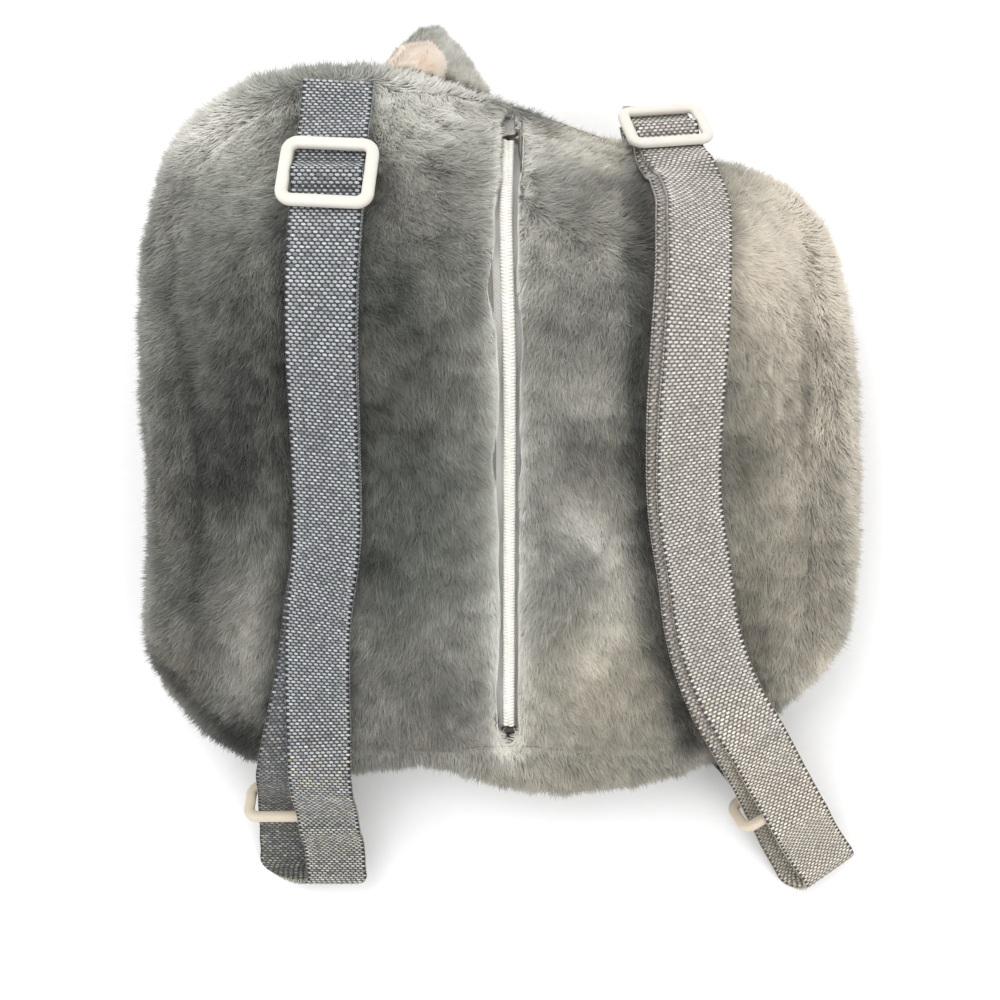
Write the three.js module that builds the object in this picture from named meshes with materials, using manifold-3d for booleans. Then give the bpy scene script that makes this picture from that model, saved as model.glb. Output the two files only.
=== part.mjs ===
// Child's plush animal backpack, lying on its front with its back and shoulder straps up.
// Millimetres. X runs across the back, Y towards the top of the bag, Z up from the table.

import * as THREE from 'three';
import { mergeVertices } from 'three/addons/utils/BufferGeometryUtils.js';
import Module from 'manifold-3d';

const wasm = await Module();
wasm.setup();

// Bag
const halfWidth = 118;          // middle of the back to its side seam
const halfHeight = 124;         // middle of the back to its top seam
const cornerPower = 4.5;        // squareness of the back's outline
const bagDepth = 106;           // table to the crest of the back
const domePower = 3.4;          // fullness of the back, higher is flatter in the middle
const crossLean = 8;            // fall of the crest from the left side to the right
const sideBulge = 28;           // side band beyond the back seam
const frontInset = 9;           // front seam inside the back seam
const plushWall = 5;            // cloth with its pile
const hemWall = 2.2;            // cloth turned in beside the zip
const frontLift = 0.8;          // side band off the table at the front seam
const lockDepth = 1.8;          // hollows between the locks of pile
const lockPitch = 17;
const pieceGap = 0.35;

// Zip
const zipEnd = 6;               // end of the zip to the seam
const zipSide = 1.5;            // zip line right of the middle
const zipSway = 1.4;            // bend of the zip line
const coilWidth = 6;
const coilHeight = 2.6;
const tapeWidth = 12;
const tapeThickness = 0.9;
const tapeShow = 1.3;           // tape seen beside the coil
const grooveDepth = 6;
const grooveWidth = 10;
const sliderWidth = 6;
const sliderLength = 8;
const sliderHeight = 3.4;
const stopLength = 2.6;
const stopHeight = 1.6;

// Straps
const webWidth = 25;
const webThickness = 1.5;
const webRest = 1.2;            // webbing off the smooth cover, in the pile
const webLayerGap = 0.5;
const foldHeight = 8;           // upper layer over the lower one's rest at the end fold

// Strap hardware
const slideClearance = 1.0;     // webbing to each side of its slot
const slideLength = 27;
const slideBar = 3.5;
const slideThickness = 3.2;
const slideMiddleBar = 3;
const slideMiddleThickness = 1.8;
const ringLength = 18;
const ringBar = 4.4;
const ringThickness = 3.4;
const hardwareCorner = 4;
const hardwareBevel = 0.9;
const tabWidth = 22;
const tabThickness = 1.2;
const tabLevel = 13;            // middle of a tab's end over the table

// Ear
const earWidth = 44;
const earHeight = 35;
const earThickness = 9;
const earLevel = 60;            // middle of the ear over the table
const liningThickness = 3.2;

// Outline of the bag every 15 degrees from its right side round by its top.
// seam is a share of the squared outline, bulge of sideBulge, level of bagDepth,
// wide is the level of the widest place as a share of the seam's.
const outline = [
  { turn: 0, seam: 1.000, bulge: 0.96, level: 0.53, wide: 0.60 },
  { turn: 15, seam: 1.000, bulge: 0.91, level: 0.53, wide: 0.62 },
  { turn: 30, seam: 1.000, bulge: 0.74, level: 0.50, wide: 0.65 },
  { turn: 45, seam: 0.980, bulge: 0.30, level: 0.43, wide: 0.75 },
  { turn: 60, seam: 0.950, bulge: 0.14, level: 0.40, wide: 0.80 },
  { turn: 75, seam: 0.975, bulge: 0.14, level: 0.50, wide: 0.80 },
  { turn: 90, seam: 1.020, bulge: 0.14, level: 0.66, wide: 0.82 },
  { turn: 105, seam: 1.010, bulge: 0.50, level: 0.78, wide: 0.82 },
  { turn: 120, seam: 1.000, bulge: 0.70, level: 0.83, wide: 0.82 },
  { turn: 135, seam: 1.000, bulge: 0.86, level: 0.80, wide: 0.78 },
  { turn: 150, seam: 1.000, bulge: 0.94, level: 0.75, wide: 0.72 },
  { turn: 165, seam: 1.000, bulge: 1.00, level: 0.67, wide: 0.66 },
  { turn: 180, seam: 1.000, bulge: 0.98, level: 0.60, wide: 0.62 },
  { turn: 195, seam: 1.000, bulge: 1.01, level: 0.55, wide: 0.60 },
  { turn: 210, seam: 1.000, bulge: 1.18, level: 0.50, wide: 0.58 },
  { turn: 225, seam: 0.980, bulge: 0.95, level: 0.46, wide: 0.58 },
  { turn: 240, seam: 0.980, bulge: 0.75, level: 0.43, wide: 0.58 },
  { turn: 255, seam: 0.980, bulge: 0.40, level: 0.41, wide: 0.58 },
  { turn: 270, seam: 0.980, bulge: 0.76, level: 0.39, wide: 0.58 },
  { turn: 285, seam: 0.980, bulge: 0.85, level: 0.38, wide: 0.58 },
  { turn: 300, seam: 0.980, bulge: 0.64, level: 0.40, wide: 0.58 },
  { turn: 315, seam: 0.980, bulge: 0.52, level: 0.42, wide: 0.58 },
  { turn: 330, seam: 1.000, bulge: 0.99, level: 0.46, wide: 0.58 },
  { turn: 345, seam: 1.000, bulge: 1.00, level: 0.51, wide: 0.60 },
];

// Crest of the back from the bottom seam to the top seam, in equal steps, share of bagDepth.
const spine = [
  { crest: 0.42 }, { crest: 0.48 }, { crest: 0.57 }, { crest: 0.675 }, { crest: 0.81 },
  { crest: 0.95 }, { crest: 1.00 }, { crest: 0.965 }, { crest: 0.86 },
];

// Soft hollows of the back: place in half widths and half heights, spread and depth
// as shares of halfWidth and bagDepth.
const hollows = [
  { across: -0.82, along: 0.02, spread: 0.20, depth: 0.030 },
  { across: -0.80, along: -0.66, spread: 0.22, depth: 0.035 },
  { across: -0.24, along: 0.60, spread: 0.18, depth: 0.028 },
  { across: -0.20, along: -0.42, spread: 0.20, depth: 0.030 },
  { across: 0.30, along: -0.30, spread: 0.16, depth: 0.028 },
  { across: 0.24, along: 0.22, spread: 0.18, depth: 0.022 },
  { across: 0.86, along: -0.12, spread: 0.18, depth: 0.030 },
  { across: 0.34, along: -0.74, spread: 0.18, depth: 0.025 },
];

// Strap routes from the top anchor to the end fold: place of the upper layer in half widths
// and half heights, sideways shift of the lower layer in webbing widths, least level as a
// share of bagDepth, and rise of the upper layer off the lower one as a share of foldHeight.
const leftRoute = [
  { across: -0.505, along: 1.02, shift: 0.00, level: 0.00, rise: 0.00 },
  { across: -0.510, along: 0.74, shift: 0.00, level: 0.00, rise: 0.00 },
  { across: -0.518, along: 0.56, shift: 0.00, level: 0.00, rise: 0.00 },
  { across: -0.528, along: 0.30, shift: 0.00, level: 0.00, rise: 0.00 },
  { across: -0.539, along: 0.00, shift: 0.00, level: 0.00, rise: 0.00 },
  { across: -0.556, along: -0.29, shift: 0.00, level: 0.00, rise: 0.00 },
  { across: -0.599, along: -0.54, shift: -0.06, level: 0.00, rise: 0.00 },
  { across: -0.612, along: -0.72, shift: -0.16, level: 0.00, rise: 0.00 },
  { across: -0.616, along: -0.90, shift: -0.38, level: 0.42, rise: 0.08 },
  { across: -0.610, along: -1.04, shift: -0.58, level: 0.31, rise: 0.45 },
  { across: -0.609, along: -1.20, shift: -0.76, level: 0.15, rise: 1.35 },
  { across: -0.603, along: -1.33, shift: -0.85, level: 0.06, rise: 1.10 },
  { across: -0.603, along: -1.435, shift: -0.87, level: 0.015, rise: 1.00 },
];
const rightRoute = [
  { across: 0.508, along: 1.050, shift: 0.00, level: 0.20, rise: 0.00 },
  { across: 0.508, along: 1.045, shift: 0.00, level: 0.30, rise: 0.00 },
  { across: 0.512, along: 1.020, shift: 0.00, level: 0.40, rise: 0.00 },
  { across: 0.521, along: 0.960, shift: 0.00, level: 0.495, rise: 0.00 },
  { across: 0.535, along: 0.905, shift: -0.06, level: 0.54, rise: 0.00 },
  { across: 0.568, along: 0.830, shift: -0.12, level: 0.00, rise: 0.00 },
  { across: 0.590, along: 0.700, shift: -0.14, level: 0.00, rise: 0.00 },
  { across: 0.575, along: 0.571, shift: -0.14, level: 0.00, rise: 0.00 },
  { across: 0.558, along: 0.305, shift: -0.16, level: 0.00, rise: 0.00 },
  { across: 0.556, along: 0.060, shift: -0.14, level: 0.00, rise: 0.00 },
  { across: 0.573, along: -0.171, shift: -0.12, level: 0.00, rise: 0.00 },
  { across: 0.623, along: -0.390, shift: -0.14, level: 0.00, rise: 0.00 },
  { across: 0.669, along: -0.595, shift: -0.16, level: 0.00, rise: 0.00 },
  { across: 0.733, along: -0.761, shift: -0.18, level: 0.00, rise: 0.00 },
  { across: 0.833, along: -0.932, shift: -0.20, level: 0.36, rise: 0.10 },
  { across: 0.915, along: -1.060, shift: -0.20, level: 0.27, rise: 0.50 },
  { across: 1.000, along: -1.195, shift: -0.22, level: 0.15, rise: 1.35 },
  { across: 1.075, along: -1.310, shift: -0.26, level: 0.06, rise: 1.10 },
  { across: 1.145, along: -1.405, shift: -0.30, level: 0.015, rise: 1.00 },
];

// Each strap: its route, the places of its slide and its ring as shares of halfHeight, the
// turn of the slide in the plane of the webbing and the lift of the ring's lower bar, degrees.
const straps = [
  { side: 'left', route: leftRoute, slideAlong: 0.705, ringAlong: -1.175, slideTurn: -2.5, ringTilt: 40 },
  { side: 'right', route: rightRoute, slideAlong: 0.957, ringAlong: -1.150, slideTurn: 0, ringTilt: 58 },
];

const looks = {
  plush: { color: 0x8b8a84, roughness: 0.95 },
  lining: { color: 0xd9c3b4, roughness: 0.9 },
  webbing: { color: 0x7d8084, roughness: 0.8 },
  tab: { color: 0x26292d, roughness: 0.85 },
  ivory: { color: 0xeeebe2, roughness: 0.4 },
  zip: { color: 0xecebe6, roughness: 0.6 },
  metal: { color: 0x5a5b5e, roughness: 0.35, metalness: 1 },
};

const backpack = new THREE.Group();

function addPiece(name, geometry, look) {
  const mesh = new THREE.Mesh(geometry, new THREE.MeshStandardMaterial(looks[look]));
  mesh.name = name;
  backpack.add(mesh);
  return mesh;
}

// Smooth value of a table's column between its rows; a closed table runs on from its end.
function tableValue(rows, position, column, closed) {
  const start = Math.floor(position);
  const t = position - start;
  const [a, b, c, d] = [-1, 0, 1, 2].map((offset) => {
    const index = start + offset;
    const wrapped = ((index % rows.length) + rows.length) % rows.length;
    return rows[closed ? wrapped : THREE.MathUtils.clamp(index, 0, rows.length - 1)][column];
  });
  const bend = 2 * a - 5 * b + 4 * c - d;
  return 0.5 * (2 * b + (c - a) * t + bend * t * t + (3 * b - a - 3 * c + d) * t ** 3);
}

const degrees = (x, y) => THREE.MathUtils.radToDeg(Math.atan2(y, x));
const outlineValue = (turn, column) => tableValue(outline, (turn / 360) * outline.length, column, true);

// Distance from the middle of the back to its seam.
function seamReach(turn) {
  const angle = THREE.MathUtils.degToRad(turn);
  const across = Math.abs(Math.cos(angle) / halfWidth) ** cornerPower;
  const along = Math.abs(Math.sin(angle) / halfHeight) ** cornerPower;
  return outlineValue(turn, 'seam') * (across + along) ** (-1 / cornerPower);
}

function bandShape(turn) {
  const seamLevel = outlineValue(turn, 'level') * bagDepth;
  return {
    seam: seamReach(turn),
    bulge: outlineValue(turn, 'bulge') * sideBulge,
    seamLevel,
    wideLevel: outlineValue(turn, 'wide') * seamLevel,
  };
}

const swayAlong = 0.62;         // place and spread of the zip's bend, shares of halfHeight
const swaySpread = 0.3;
const swayShare = (y) => Math.exp(-(((y / halfHeight - swayAlong) / swaySpread) ** 2));
const zipLine = (y) => zipSide - zipSway * swayShare(y);

// Level of the smooth back inside its seam.
function backLevel(x, y) {
  const turn = degrees(x, y);
  const share = Math.min(Math.hypot(x, y) / seamReach(turn), 1);
  const seamLevel = outlineValue(turn, 'level') * bagDepth;
  const place = (y / halfHeight + 1) * 0.5 * (spine.length - 1);
  const crest = tableValue(spine, place, 'crest', false) * bagDepth - (crossLean * x) / halfWidth;
  const inside = 1 - share ** domePower;
  let level = seamLevel + (crest - seamLevel) * inside;
  level -= grooveDepth * Math.exp(-(((x - zipLine(y)) / grooveWidth) ** 2)) * inside;
  for (const hollow of hollows) {
    const away = Math.hypot(x - hollow.across * halfWidth, y - hollow.along * halfHeight);
    level -= hollow.depth * bagDepth * Math.exp(-((away / (hollow.spread * halfWidth)) ** 2)) * inside;
  }
  return level;
}

// How far the side band reaches from the middle at a level.
function bandReach(turn, level) {
  const { seam, bulge, seamLevel, wideLevel } = bandShape(turn);
  if (level >= wideLevel) {
    const share = Math.min((level - wideLevel) / (seamLevel - wideLevel), 1);
    return seam + bulge * Math.sqrt(1 - share * share);
  }
  const share = Math.min((wideLevel - level) / (wideLevel - frontLift), 1);
  return seam - frontInset + (bulge + frontInset) * Math.sqrt(1 - share * share);
}

// Highest smooth surface of the bag over a place on the table, zero beside the bag.
function coverLevel(x, y) {
  const turn = degrees(x, y);
  const { seam, bulge, seamLevel, wideLevel } = bandShape(turn);
  const past = Math.hypot(x, y) - seam;
  if (past <= 0) {
    return backLevel(x, y);
  }
  if (past >= bulge) {
    return 0;
  }
  return wideLevel + (seamLevel - wideLevel) * Math.sqrt(1 - (past / bulge) ** 2);
}

// Hollows between the locks of pile, zero on the tips.
function lockHollow(along, across) {
  const wave = (2 * Math.PI) / lockPitch;
  const stagger = Math.sin(across * wave * 0.62 + 1.7 * Math.sin(along * wave * 0.31));
  return lockDepth * (0.5 + 0.5 * Math.sin(along * wave) * stagger);
}

// Closed body through sections of equal size, whose second half runs back under the first.
function loft(sections, closed = false) {
  const size = sections[0].length;
  const positions = sections.flat().flatMap((point) => point.toArray());
  const triangles = [];
  const quad = (a, b, c, d) => triangles.push(a, b, c, a, c, d);
  const runs = closed ? sections.length : sections.length - 1;
  for (let i = 0; i < runs; i++) {
    const here = i * size;
    const next = ((i + 1) % sections.length) * size;
    for (let j = 0; j < size; j++) {
      const k = (j + 1) % size;
      quad(here + j, here + k, next + k, next + j);
    }
  }
  const last = (sections.length - 1) * size;
  for (let j = 0; j < size / 2 - 1 && !closed; j++) {
    const far = size - 1 - j;
    quad(j + 1, j, far, far - 1);
    quad(last + j, last + j + 1, last + far - 1, last + far);
  }
  return outwardGeometry(positions, triangles);
}

// Indexed geometry with its faces pointing out.
function outwardGeometry(positions, triangles) {
  const corner = (index) => new THREE.Vector3().fromArray(positions, 3 * index);
  let volume = 0;
  for (let i = 0; i < triangles.length; i += 3) {
    const [a, b, c] = [corner(triangles[i]), corner(triangles[i + 1]), corner(triangles[i + 2])];
    volume += a.dot(b.cross(c));
  }
  const index = volume < 0 ? triangles.slice().reverse() : triangles;
  const geometry = new THREE.BufferGeometry();
  geometry.setAttribute('position', new THREE.Float32BufferAttribute(positions, 3));
  geometry.setIndex(index);
  return geometry;
}

function toSolid(geometry) {
  const bare = geometry.clone();
  bare.deleteAttribute('normal');
  bare.deleteAttribute('uv');
  const merged = mergeVertices(bare, 1e-4);
  const vertProperties = new Float32Array(merged.attributes.position.array);
  const triVerts = new Uint32Array(merged.index.array);
  return new wasm.Manifold(new wasm.Mesh({ numProp: 3, vertProperties, triVerts }));
}

function toGeometry(solid) {
  const mesh = solid.getMesh();
  const geometry = new THREE.BufferGeometry();
  geometry.setAttribute('position', new THREE.Float32BufferAttribute(mesh.vertProperties, 3));
  geometry.setIndex(Array.from(mesh.triVerts));
  return geometry;
}

const sectionCount = 72;
const bandTurns = Array.from({ length: sectionCount }, (_, i) => (i * 360) / sectionCount);

function polarPoint(turn, reach, level) {
  const angle = THREE.MathUtils.degToRad(turn);
  return new THREE.Vector3(reach * Math.cos(angle), reach * Math.sin(angle), level);
}

// Upward normal of the smooth back, with places past the seam read at the seam.
function backNormal(x, y) {
  const step = 0.5;
  const inside = 0.995;
  const slope = (dx, dy) => (backLevel(inside * x + dx, inside * y + dy)
    - backLevel(inside * x - dx, inside * y - dy)) / (2 * step);
  return new THREE.Vector3(-slope(step, 0), -slope(0, step), 1).normalize();
}

// Columns of a panel crowd towards its edges, and its wall fills out from the hem.
const edgeCrowding = 0.1;
const hemShare = 0.15;

// Half of the back: a domed wall between the zip line and the seam on one side.
function backPanel(side) {
  const rowCount = sectionCount / 2;
  const columnCount = 10;
  const slot = coilWidth / 2 + tapeShow;
  const sections = [];
  for (let i = 0; i <= rowCount; i++) {
    const run = i / rowCount;
    const turn = 90 - side * 180 * run;
    const seamPoint = polarPoint(turn, seamReach(turn), 0);
    if (i === 0 || i === rowCount) {
      seamPoint.x = zipLine(seamPoint.y) + (side * pieceGap) / 2;
      seamPoint.y -= (Math.sign(seamPoint.y) * pieceGap) / 2;
    }
    const y = THREE.MathUtils.lerp(seamReach(90) - zipEnd, zipEnd - seamReach(270), run);
    const zipPoint = new THREE.Vector3(zipLine(y) + side * slot, y, 0);
    const outer = [];
    const inner = [];
    for (let j = 0; j <= columnCount; j++) {
      const even = j / columnCount;
      const share = even - edgeCrowding * Math.sin(2 * Math.PI * even);
      const place = zipPoint.clone().lerp(seamPoint, share);
      const { x, y: along } = place;
      const atEnd = i === 0 || i === rowCount;
      const onEdge = atEnd || j === 0 || j === columnCount;
      const hollow = onEdge ? 0 : lockHollow(along, x);
      const fullness = atEnd ? 0 : Math.min(share / hemShare, 1);
      const wall = THREE.MathUtils.lerp(hemWall, plushWall, fullness);
      const normal = onEdge ? new THREE.Vector3(0, 0, 1) : backNormal(x, along);
      const top = place.setZ(backLevel(x, along));
      inner.unshift(top.clone().addScaledVector(normal, -wall));
      outer.push(top.addScaledVector(normal, -hollow));
    }
    sections.push([...outer, ...inner]);
  }
  return loft(sections);
}

// Outer line of the side band at a turn: distance from the middle and level, from the back
// seam out to the widest place and in again to the front seam.
function bandLine(turn) {
  const { seam, bulge, seamLevel, wideLevel } = bandShape(turn);
  const steps = 4;
  const line = [];
  for (let k = 0; k <= steps; k++) {
    const angle = (k / steps) * (Math.PI / 2);
    line.push(new THREE.Vector2(
      seam + pieceGap + (bulge - pieceGap) * Math.sin(angle),
      wideLevel + (seamLevel - wideLevel) * Math.cos(angle),
    ));
  }
  const frontSeam = seam - frontInset + pieceGap;
  for (let k = 1; k <= steps; k++) {
    const angle = (k / steps) * (Math.PI / 2);
    line.push(new THREE.Vector2(
      frontSeam + (bulge + seam - frontSeam) * Math.cos(angle),
      wideLevel - (wideLevel - frontLift) * Math.sin(angle),
    ));
  }
  return line;
}

const bandRow = 11;             // distance between the rows of the band's line, for its locks

function sideBand() {
  const sections = bandTurns.map((turn) => {
    const line = bandLine(turn);
    const outer = [];
    const inner = [];
    line.forEach((place, k) => {
      const before = line[Math.max(k - 1, 0)];
      const after = line[Math.min(k + 1, line.length - 1)];
      const along = after.clone().sub(before).normalize();
      let normal = new THREE.Vector2(-along.y, along.x);
      const atEnd = k === 0 || k === line.length - 1;
      if (atEnd) {
        normal = new THREE.Vector2(0, k === 0 ? 1 : -1);
      }
      const hollow = atEnd ? 0 : lockHollow((turn / 360) * 2 * Math.PI * place.x, bandRow * k);
      const skin = place.clone().addScaledVector(normal, -hollow);
      const back = place.clone().addScaledVector(normal, -plushWall);
      const end = line.length - 1;
      const upper = k < line.length / 2;
      const seamEdge = upper ? line[0].x : line[end].x;
      skin.x = Math.max(skin.x, seamEdge + (atEnd ? 0 : pieceGap));
      back.x = Math.max(back.x, seamEdge);
      back.y = upper
        ? Math.min(back.y, line[0].y - plushWall - k * pieceGap)
        : Math.max(back.y, line[end].y + plushWall + (end - k) * pieceGap);
      outer.push(polarPoint(turn, skin.x, skin.y));
      inner.unshift(polarPoint(turn, back.x, back.y));
    });
    return [...outer, ...inner];
  });
  return loft(sections, true);
}

function frontPanel() {
  const corners = bandTurns.map((turn) => polarPoint(turn, seamReach(turn) - frontInset, 0));
  const shape = new THREE.Shape(corners.map((point) => new THREE.Vector2(point.x, point.y)));
  return new THREE.ExtrudeGeometry(shape, { depth: plushWall, bevelEnabled: false });
}

// Everything inside the band's outer line, grown by the gap between pieces.
function bagEnvelope() {
  const rings = bandTurns.map((turn) =>
    bandLine(turn).map((place) => polarPoint(turn, place.x + pieceGap, place.y)));
  const count = rings[0].length;
  const positions = rings.flat().flatMap((point) => point.toArray());
  const triangles = [];
  const middle = positions.length / 3;
  positions.push(0, 0, bagDepth * 0.5, 0, 0, 0);
  rings.forEach((_, i) => {
    const here = i * count;
    const next = ((i + 1) % rings.length) * count;
    for (let k = 0; k < count - 1; k++) {
      triangles.push(here + k, here + k + 1, next + k + 1, here + k, next + k + 1, next + k);
    }
    triangles.push(middle, here, next, middle + 1, next + count - 1, here + count - 1);
  });
  return toSolid(outwardGeometry(positions, triangles));
}

// Level of the turned-in edges beside the zip, and the drop below it that a thickness takes
// on the slope.
function zipLevel(y) {
  const reach = coilWidth / 2 + tapeShow;
  return Math.min(backLevel(zipLine(y) + reach, y), backLevel(zipLine(y) - reach, y));
}
const onSlope = (y, thickness) => thickness / backNormal(zipLine(y), y).z;

// Flat strip along the zip between two distances from its line.
function zipStrip(from, to, drop, thickness, top, bottom) {
  const count = 32;
  const sections = [];
  for (let i = 0; i <= count; i++) {
    const y = THREE.MathUtils.lerp(top, bottom, i / count);
    const edge = (distance) => {
      const x = zipLine(y) + distance;
      const covered = Math.abs(distance) > coilWidth ? backLevel(x, y) - onSlope(y, plushWall) : Infinity;
      return new THREE.Vector3(x, y, Math.min(zipLevel(y), covered) - onSlope(y, drop));
    };
    const [left, right] = [edge(from), edge(to)];
    const below = new THREE.Vector3(0, 0, -onSlope(y, thickness));
    sections.push([left, right, right.clone().add(below), left.clone().add(below)]);
  }
  return loft(sections);
}

const zipTop = seamReach(90) - zipEnd;
const zipBottom = zipEnd - seamReach(270);
const tapeDrop = hemWall + 4 * pieceGap;
const coilDrop = tapeDrop - pieceGap - coilHeight;

// Rounded block lying along the zip at a place on it.
function zipBlock(y, width, length, height, drop) {
  const shape = roundedShape(width, length, Math.min(width, length) * 0.3);
  const bevel = 0.25 * height;
  const geometry = new THREE.ExtrudeGeometry(shape, {
    depth: height - 2 * bevel, bevelThickness: bevel, bevelSize: bevel, bevelOffset: -bevel,
    bevelSegments: 1, curveSegments: 3,
  });
  const slope = (zipLevel(y + length / 2) - zipLevel(y - length / 2)) / length;
  geometry.translate(0, 0, bevel);
  geometry.rotateX(Math.atan(slope));
  geometry.translate(zipLine(y), y, zipLevel(y) - onSlope(y, drop));
  return geometry;
}

function roundedShape(width, length, radius) {
  const shape = new THREE.Shape();
  const x = width / 2 - radius;
  const y = length / 2 - radius;
  shape.absarc(x, y, radius, 0, Math.PI / 2, false);
  shape.absarc(-x, y, radius, Math.PI / 2, Math.PI, false);
  shape.absarc(-x, -y, radius, Math.PI, 1.5 * Math.PI, false);
  shape.absarc(x, -y, radius, 1.5 * Math.PI, 2 * Math.PI, false);
  return shape;
}

const slideFlat = 0.56;         // straight webbing each way from a slide's middle, in its lengths

// The line of a strap on the cover, with the frame of the webbing anywhere on it.
class StrapLine {
  constructor({ route, slideAlong, ringAlong }) {
    this.route = route;
    const plan = new THREE.CatmullRomCurve3(route.map((row) =>
      new THREE.Vector3(row.across * halfWidth, row.along * halfHeight, row.level * bagDepth)));
    plan.arcLengthDivisions = 600;
    this.points = plan.getSpacedPoints(150);
    this.rests(slideAlong * halfHeight);
    this.curve = new THREE.CatmullRomCurve3(this.points);
    this.curve.arcLengthDivisions = 1200;
    this.length = this.curve.getLength();
    this.slidePlace = this.placeAt(slideAlong * halfHeight);
    this.ringPlace = this.placeAt(ringAlong * halfHeight);
  }

  // Puts the points on the cover, pulls them straight over hollows and flat at the slide.
  rests(slideY) {
    const points = this.points;
    points.forEach((point, i) => {
      const heading = points[Math.min(i + 1, points.length - 1)].clone().sub(points[Math.max(i - 1, 0)]);
      const fromLeft = -this.edgeOffset(point, -1) * this.crossSlope(point, heading);
      const level = this.edgeCover(point, heading, -1) + fromLeft;
      point.z = Math.max(point.z, coverLevel(point.x, point.y), level);
    });
    for (let pass = 0; pass < 12; pass++) {
      for (let i = 1; i < points.length - 1; i++) {
        points[i].z = Math.max(points[i].z, (points[i - 1].z + points[i + 1].z) / 2);
      }
    }
    const middle = points.reduce((best, point, i) =>
      (Math.abs(point.y - slideY) < Math.abs(points[best].y - slideY) ? i : best), 0);
    const flat = slideFlat * slideLength;
    const first = points.findIndex((point) => point.distanceTo(points[middle]) < flat);
    const last = 2 * middle - first;
    const centre = points[first].clone().add(points[last]).multiplyScalar(0.5);
    const heading = points[last].clone().sub(points[first]).normalize();
    const slope = this.crossSlope(centre, heading);
    const along = (point) => point.clone().sub(centre).dot(heading);
    const onLine = (away) => centre.clone().addScaledVector(heading, away);
    let lift = 0;
    for (const point of points.slice(first, last + 1)) {
      for (const side of [-1, 1]) {
        const place = onLine(along(point));
        const webbing = place.z + slope * this.edgeOffset(place, side);
        lift = Math.max(lift, this.edgeCover(place, heading, side) - webbing);
      }
    }
    centre.z += lift;
    for (const point of points) {
      const weight = 1 - THREE.MathUtils.smoothstep(point.distanceTo(centre), flat, 1.6 * flat);
      point.lerp(onLine(along(point)), weight);
    }
  }

  placeAt(y) {
    const steps = 800;
    let best = 0;
    for (let i = 1; i <= steps; i++) {
      const near = Math.abs(this.curve.getPointAt(i / steps).y - y);
      if (near < Math.abs(this.curve.getPointAt(best / steps).y - y)) {
        best = i;
      }
    }
    return (best / steps) * this.length;
  }

  routeValue(point, column) {
    const y = point.y / halfHeight;
    let i = 0;
    while (i < this.route.length - 2 && this.route[i + 1].along > y) {
      i++;
    }
    const [from, to] = [this.route[i], this.route[i + 1]];
    const share = THREE.MathUtils.clamp((from.along - y) / (from.along - to.along), 0, 1);
    return THREE.MathUtils.lerp(from[column], to[column], share);
  }

  // Distance from the line to the outermost edge of both layers on one side.
  edgeOffset(point, side) {
    const shift = this.lowerShift(point);
    return (side * webWidth) / 2 + (side * shift > 0 ? shift : 0);
  }

  // Level of the cover under such an edge, or a little below the webbing off the bag.
  edgeCover(point, heading, side) {
    const offset = this.edgeOffset(point, side);
    const step = new THREE.Vector2(-heading.y, heading.x).normalize().multiplyScalar(offset);
    return Math.max(coverLevel(point.x + step.x, point.y + step.y), point.z - 5);
  }

  crossSlope(point, heading) {
    const rise = this.edgeCover(point, heading, 1) - this.edgeCover(point, heading, -1);
    return rise / (this.edgeOffset(point, 1) - this.edgeOffset(point, -1));
  }

  frame(place) {
    const at = (distance) => THREE.MathUtils.clamp(distance / this.length, 0, 1);
    const slopeAt = (distance) =>
      this.crossSlope(this.curve.getPointAt(at(distance)), this.curve.getTangentAt(at(distance)));
    const away = Math.abs(place - this.slidePlace);
    const free = THREE.MathUtils.smoothstep(away, slideLength * slideFlat, slideLength * 2 * slideFlat);
    const spread = (slopeAt(place - 6) + 2 * slopeAt(place) + slopeAt(place + 6)) / 4;
    const slope = THREE.MathUtils.lerp(slopeAt(this.slidePlace), spread, free);
    const point = this.curve.getPointAt(at(place));
    const heading = this.curve.getTangentAt(at(place));
    const flat = new THREE.Vector3(-heading.y, heading.x, 0).normalize();
    const normal = heading.clone().cross(flat.clone().setZ(slope)).normalize();
    const across = normal.clone().cross(heading).normalize();
    return { point, heading, across, normal, flat };
  }

  lowerShift(point) {
    return this.routeValue(point, 'shift') * webWidth;
  }

  // Rise of the upper layer's underside over the line.
  upperRise(place, point) {
    const double = webRest + webThickness + webLayerGap;
    const start = THREE.MathUtils.smoothstep(place, 0, this.slidePlace - slideLength / 2);
    const away = (place - this.slidePlace) / (slideMiddleBar * 1.4);
    const bump = (slideMiddleThickness + 2.2) * Math.exp(-away * away);
    const rise = this.routeValue(point, 'rise') * foldHeight;
    return THREE.MathUtils.lerp(webRest, double, start) + bump + rise;
  }
}

// Four corners of the webbing's section; turned over, its upper face looks down.
function webSection(middle, across, normal, width, thickness, over = false) {
  const left = middle.clone().addScaledVector(across, -width / 2);
  const right = middle.clone().addScaledVector(across, width / 2);
  const corners = [
    left.clone().addScaledVector(normal, thickness), right.clone().addScaledVector(normal, thickness),
    right, left,
  ];
  return over ? corners.reverse() : corners;
}

function strapPlaces(line, from, to) {
  const places = [];
  const forward = Math.sign(to - from);
  let place = from;
  while ((to - place) * forward > 0.5) {
    places.push(place);
    const close = Math.abs(place - line.slidePlace) < slideLength * 0.6;
    place += forward * (close ? 1.5 : 7);
  }
  places.push(to);
  return places;
}

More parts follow.
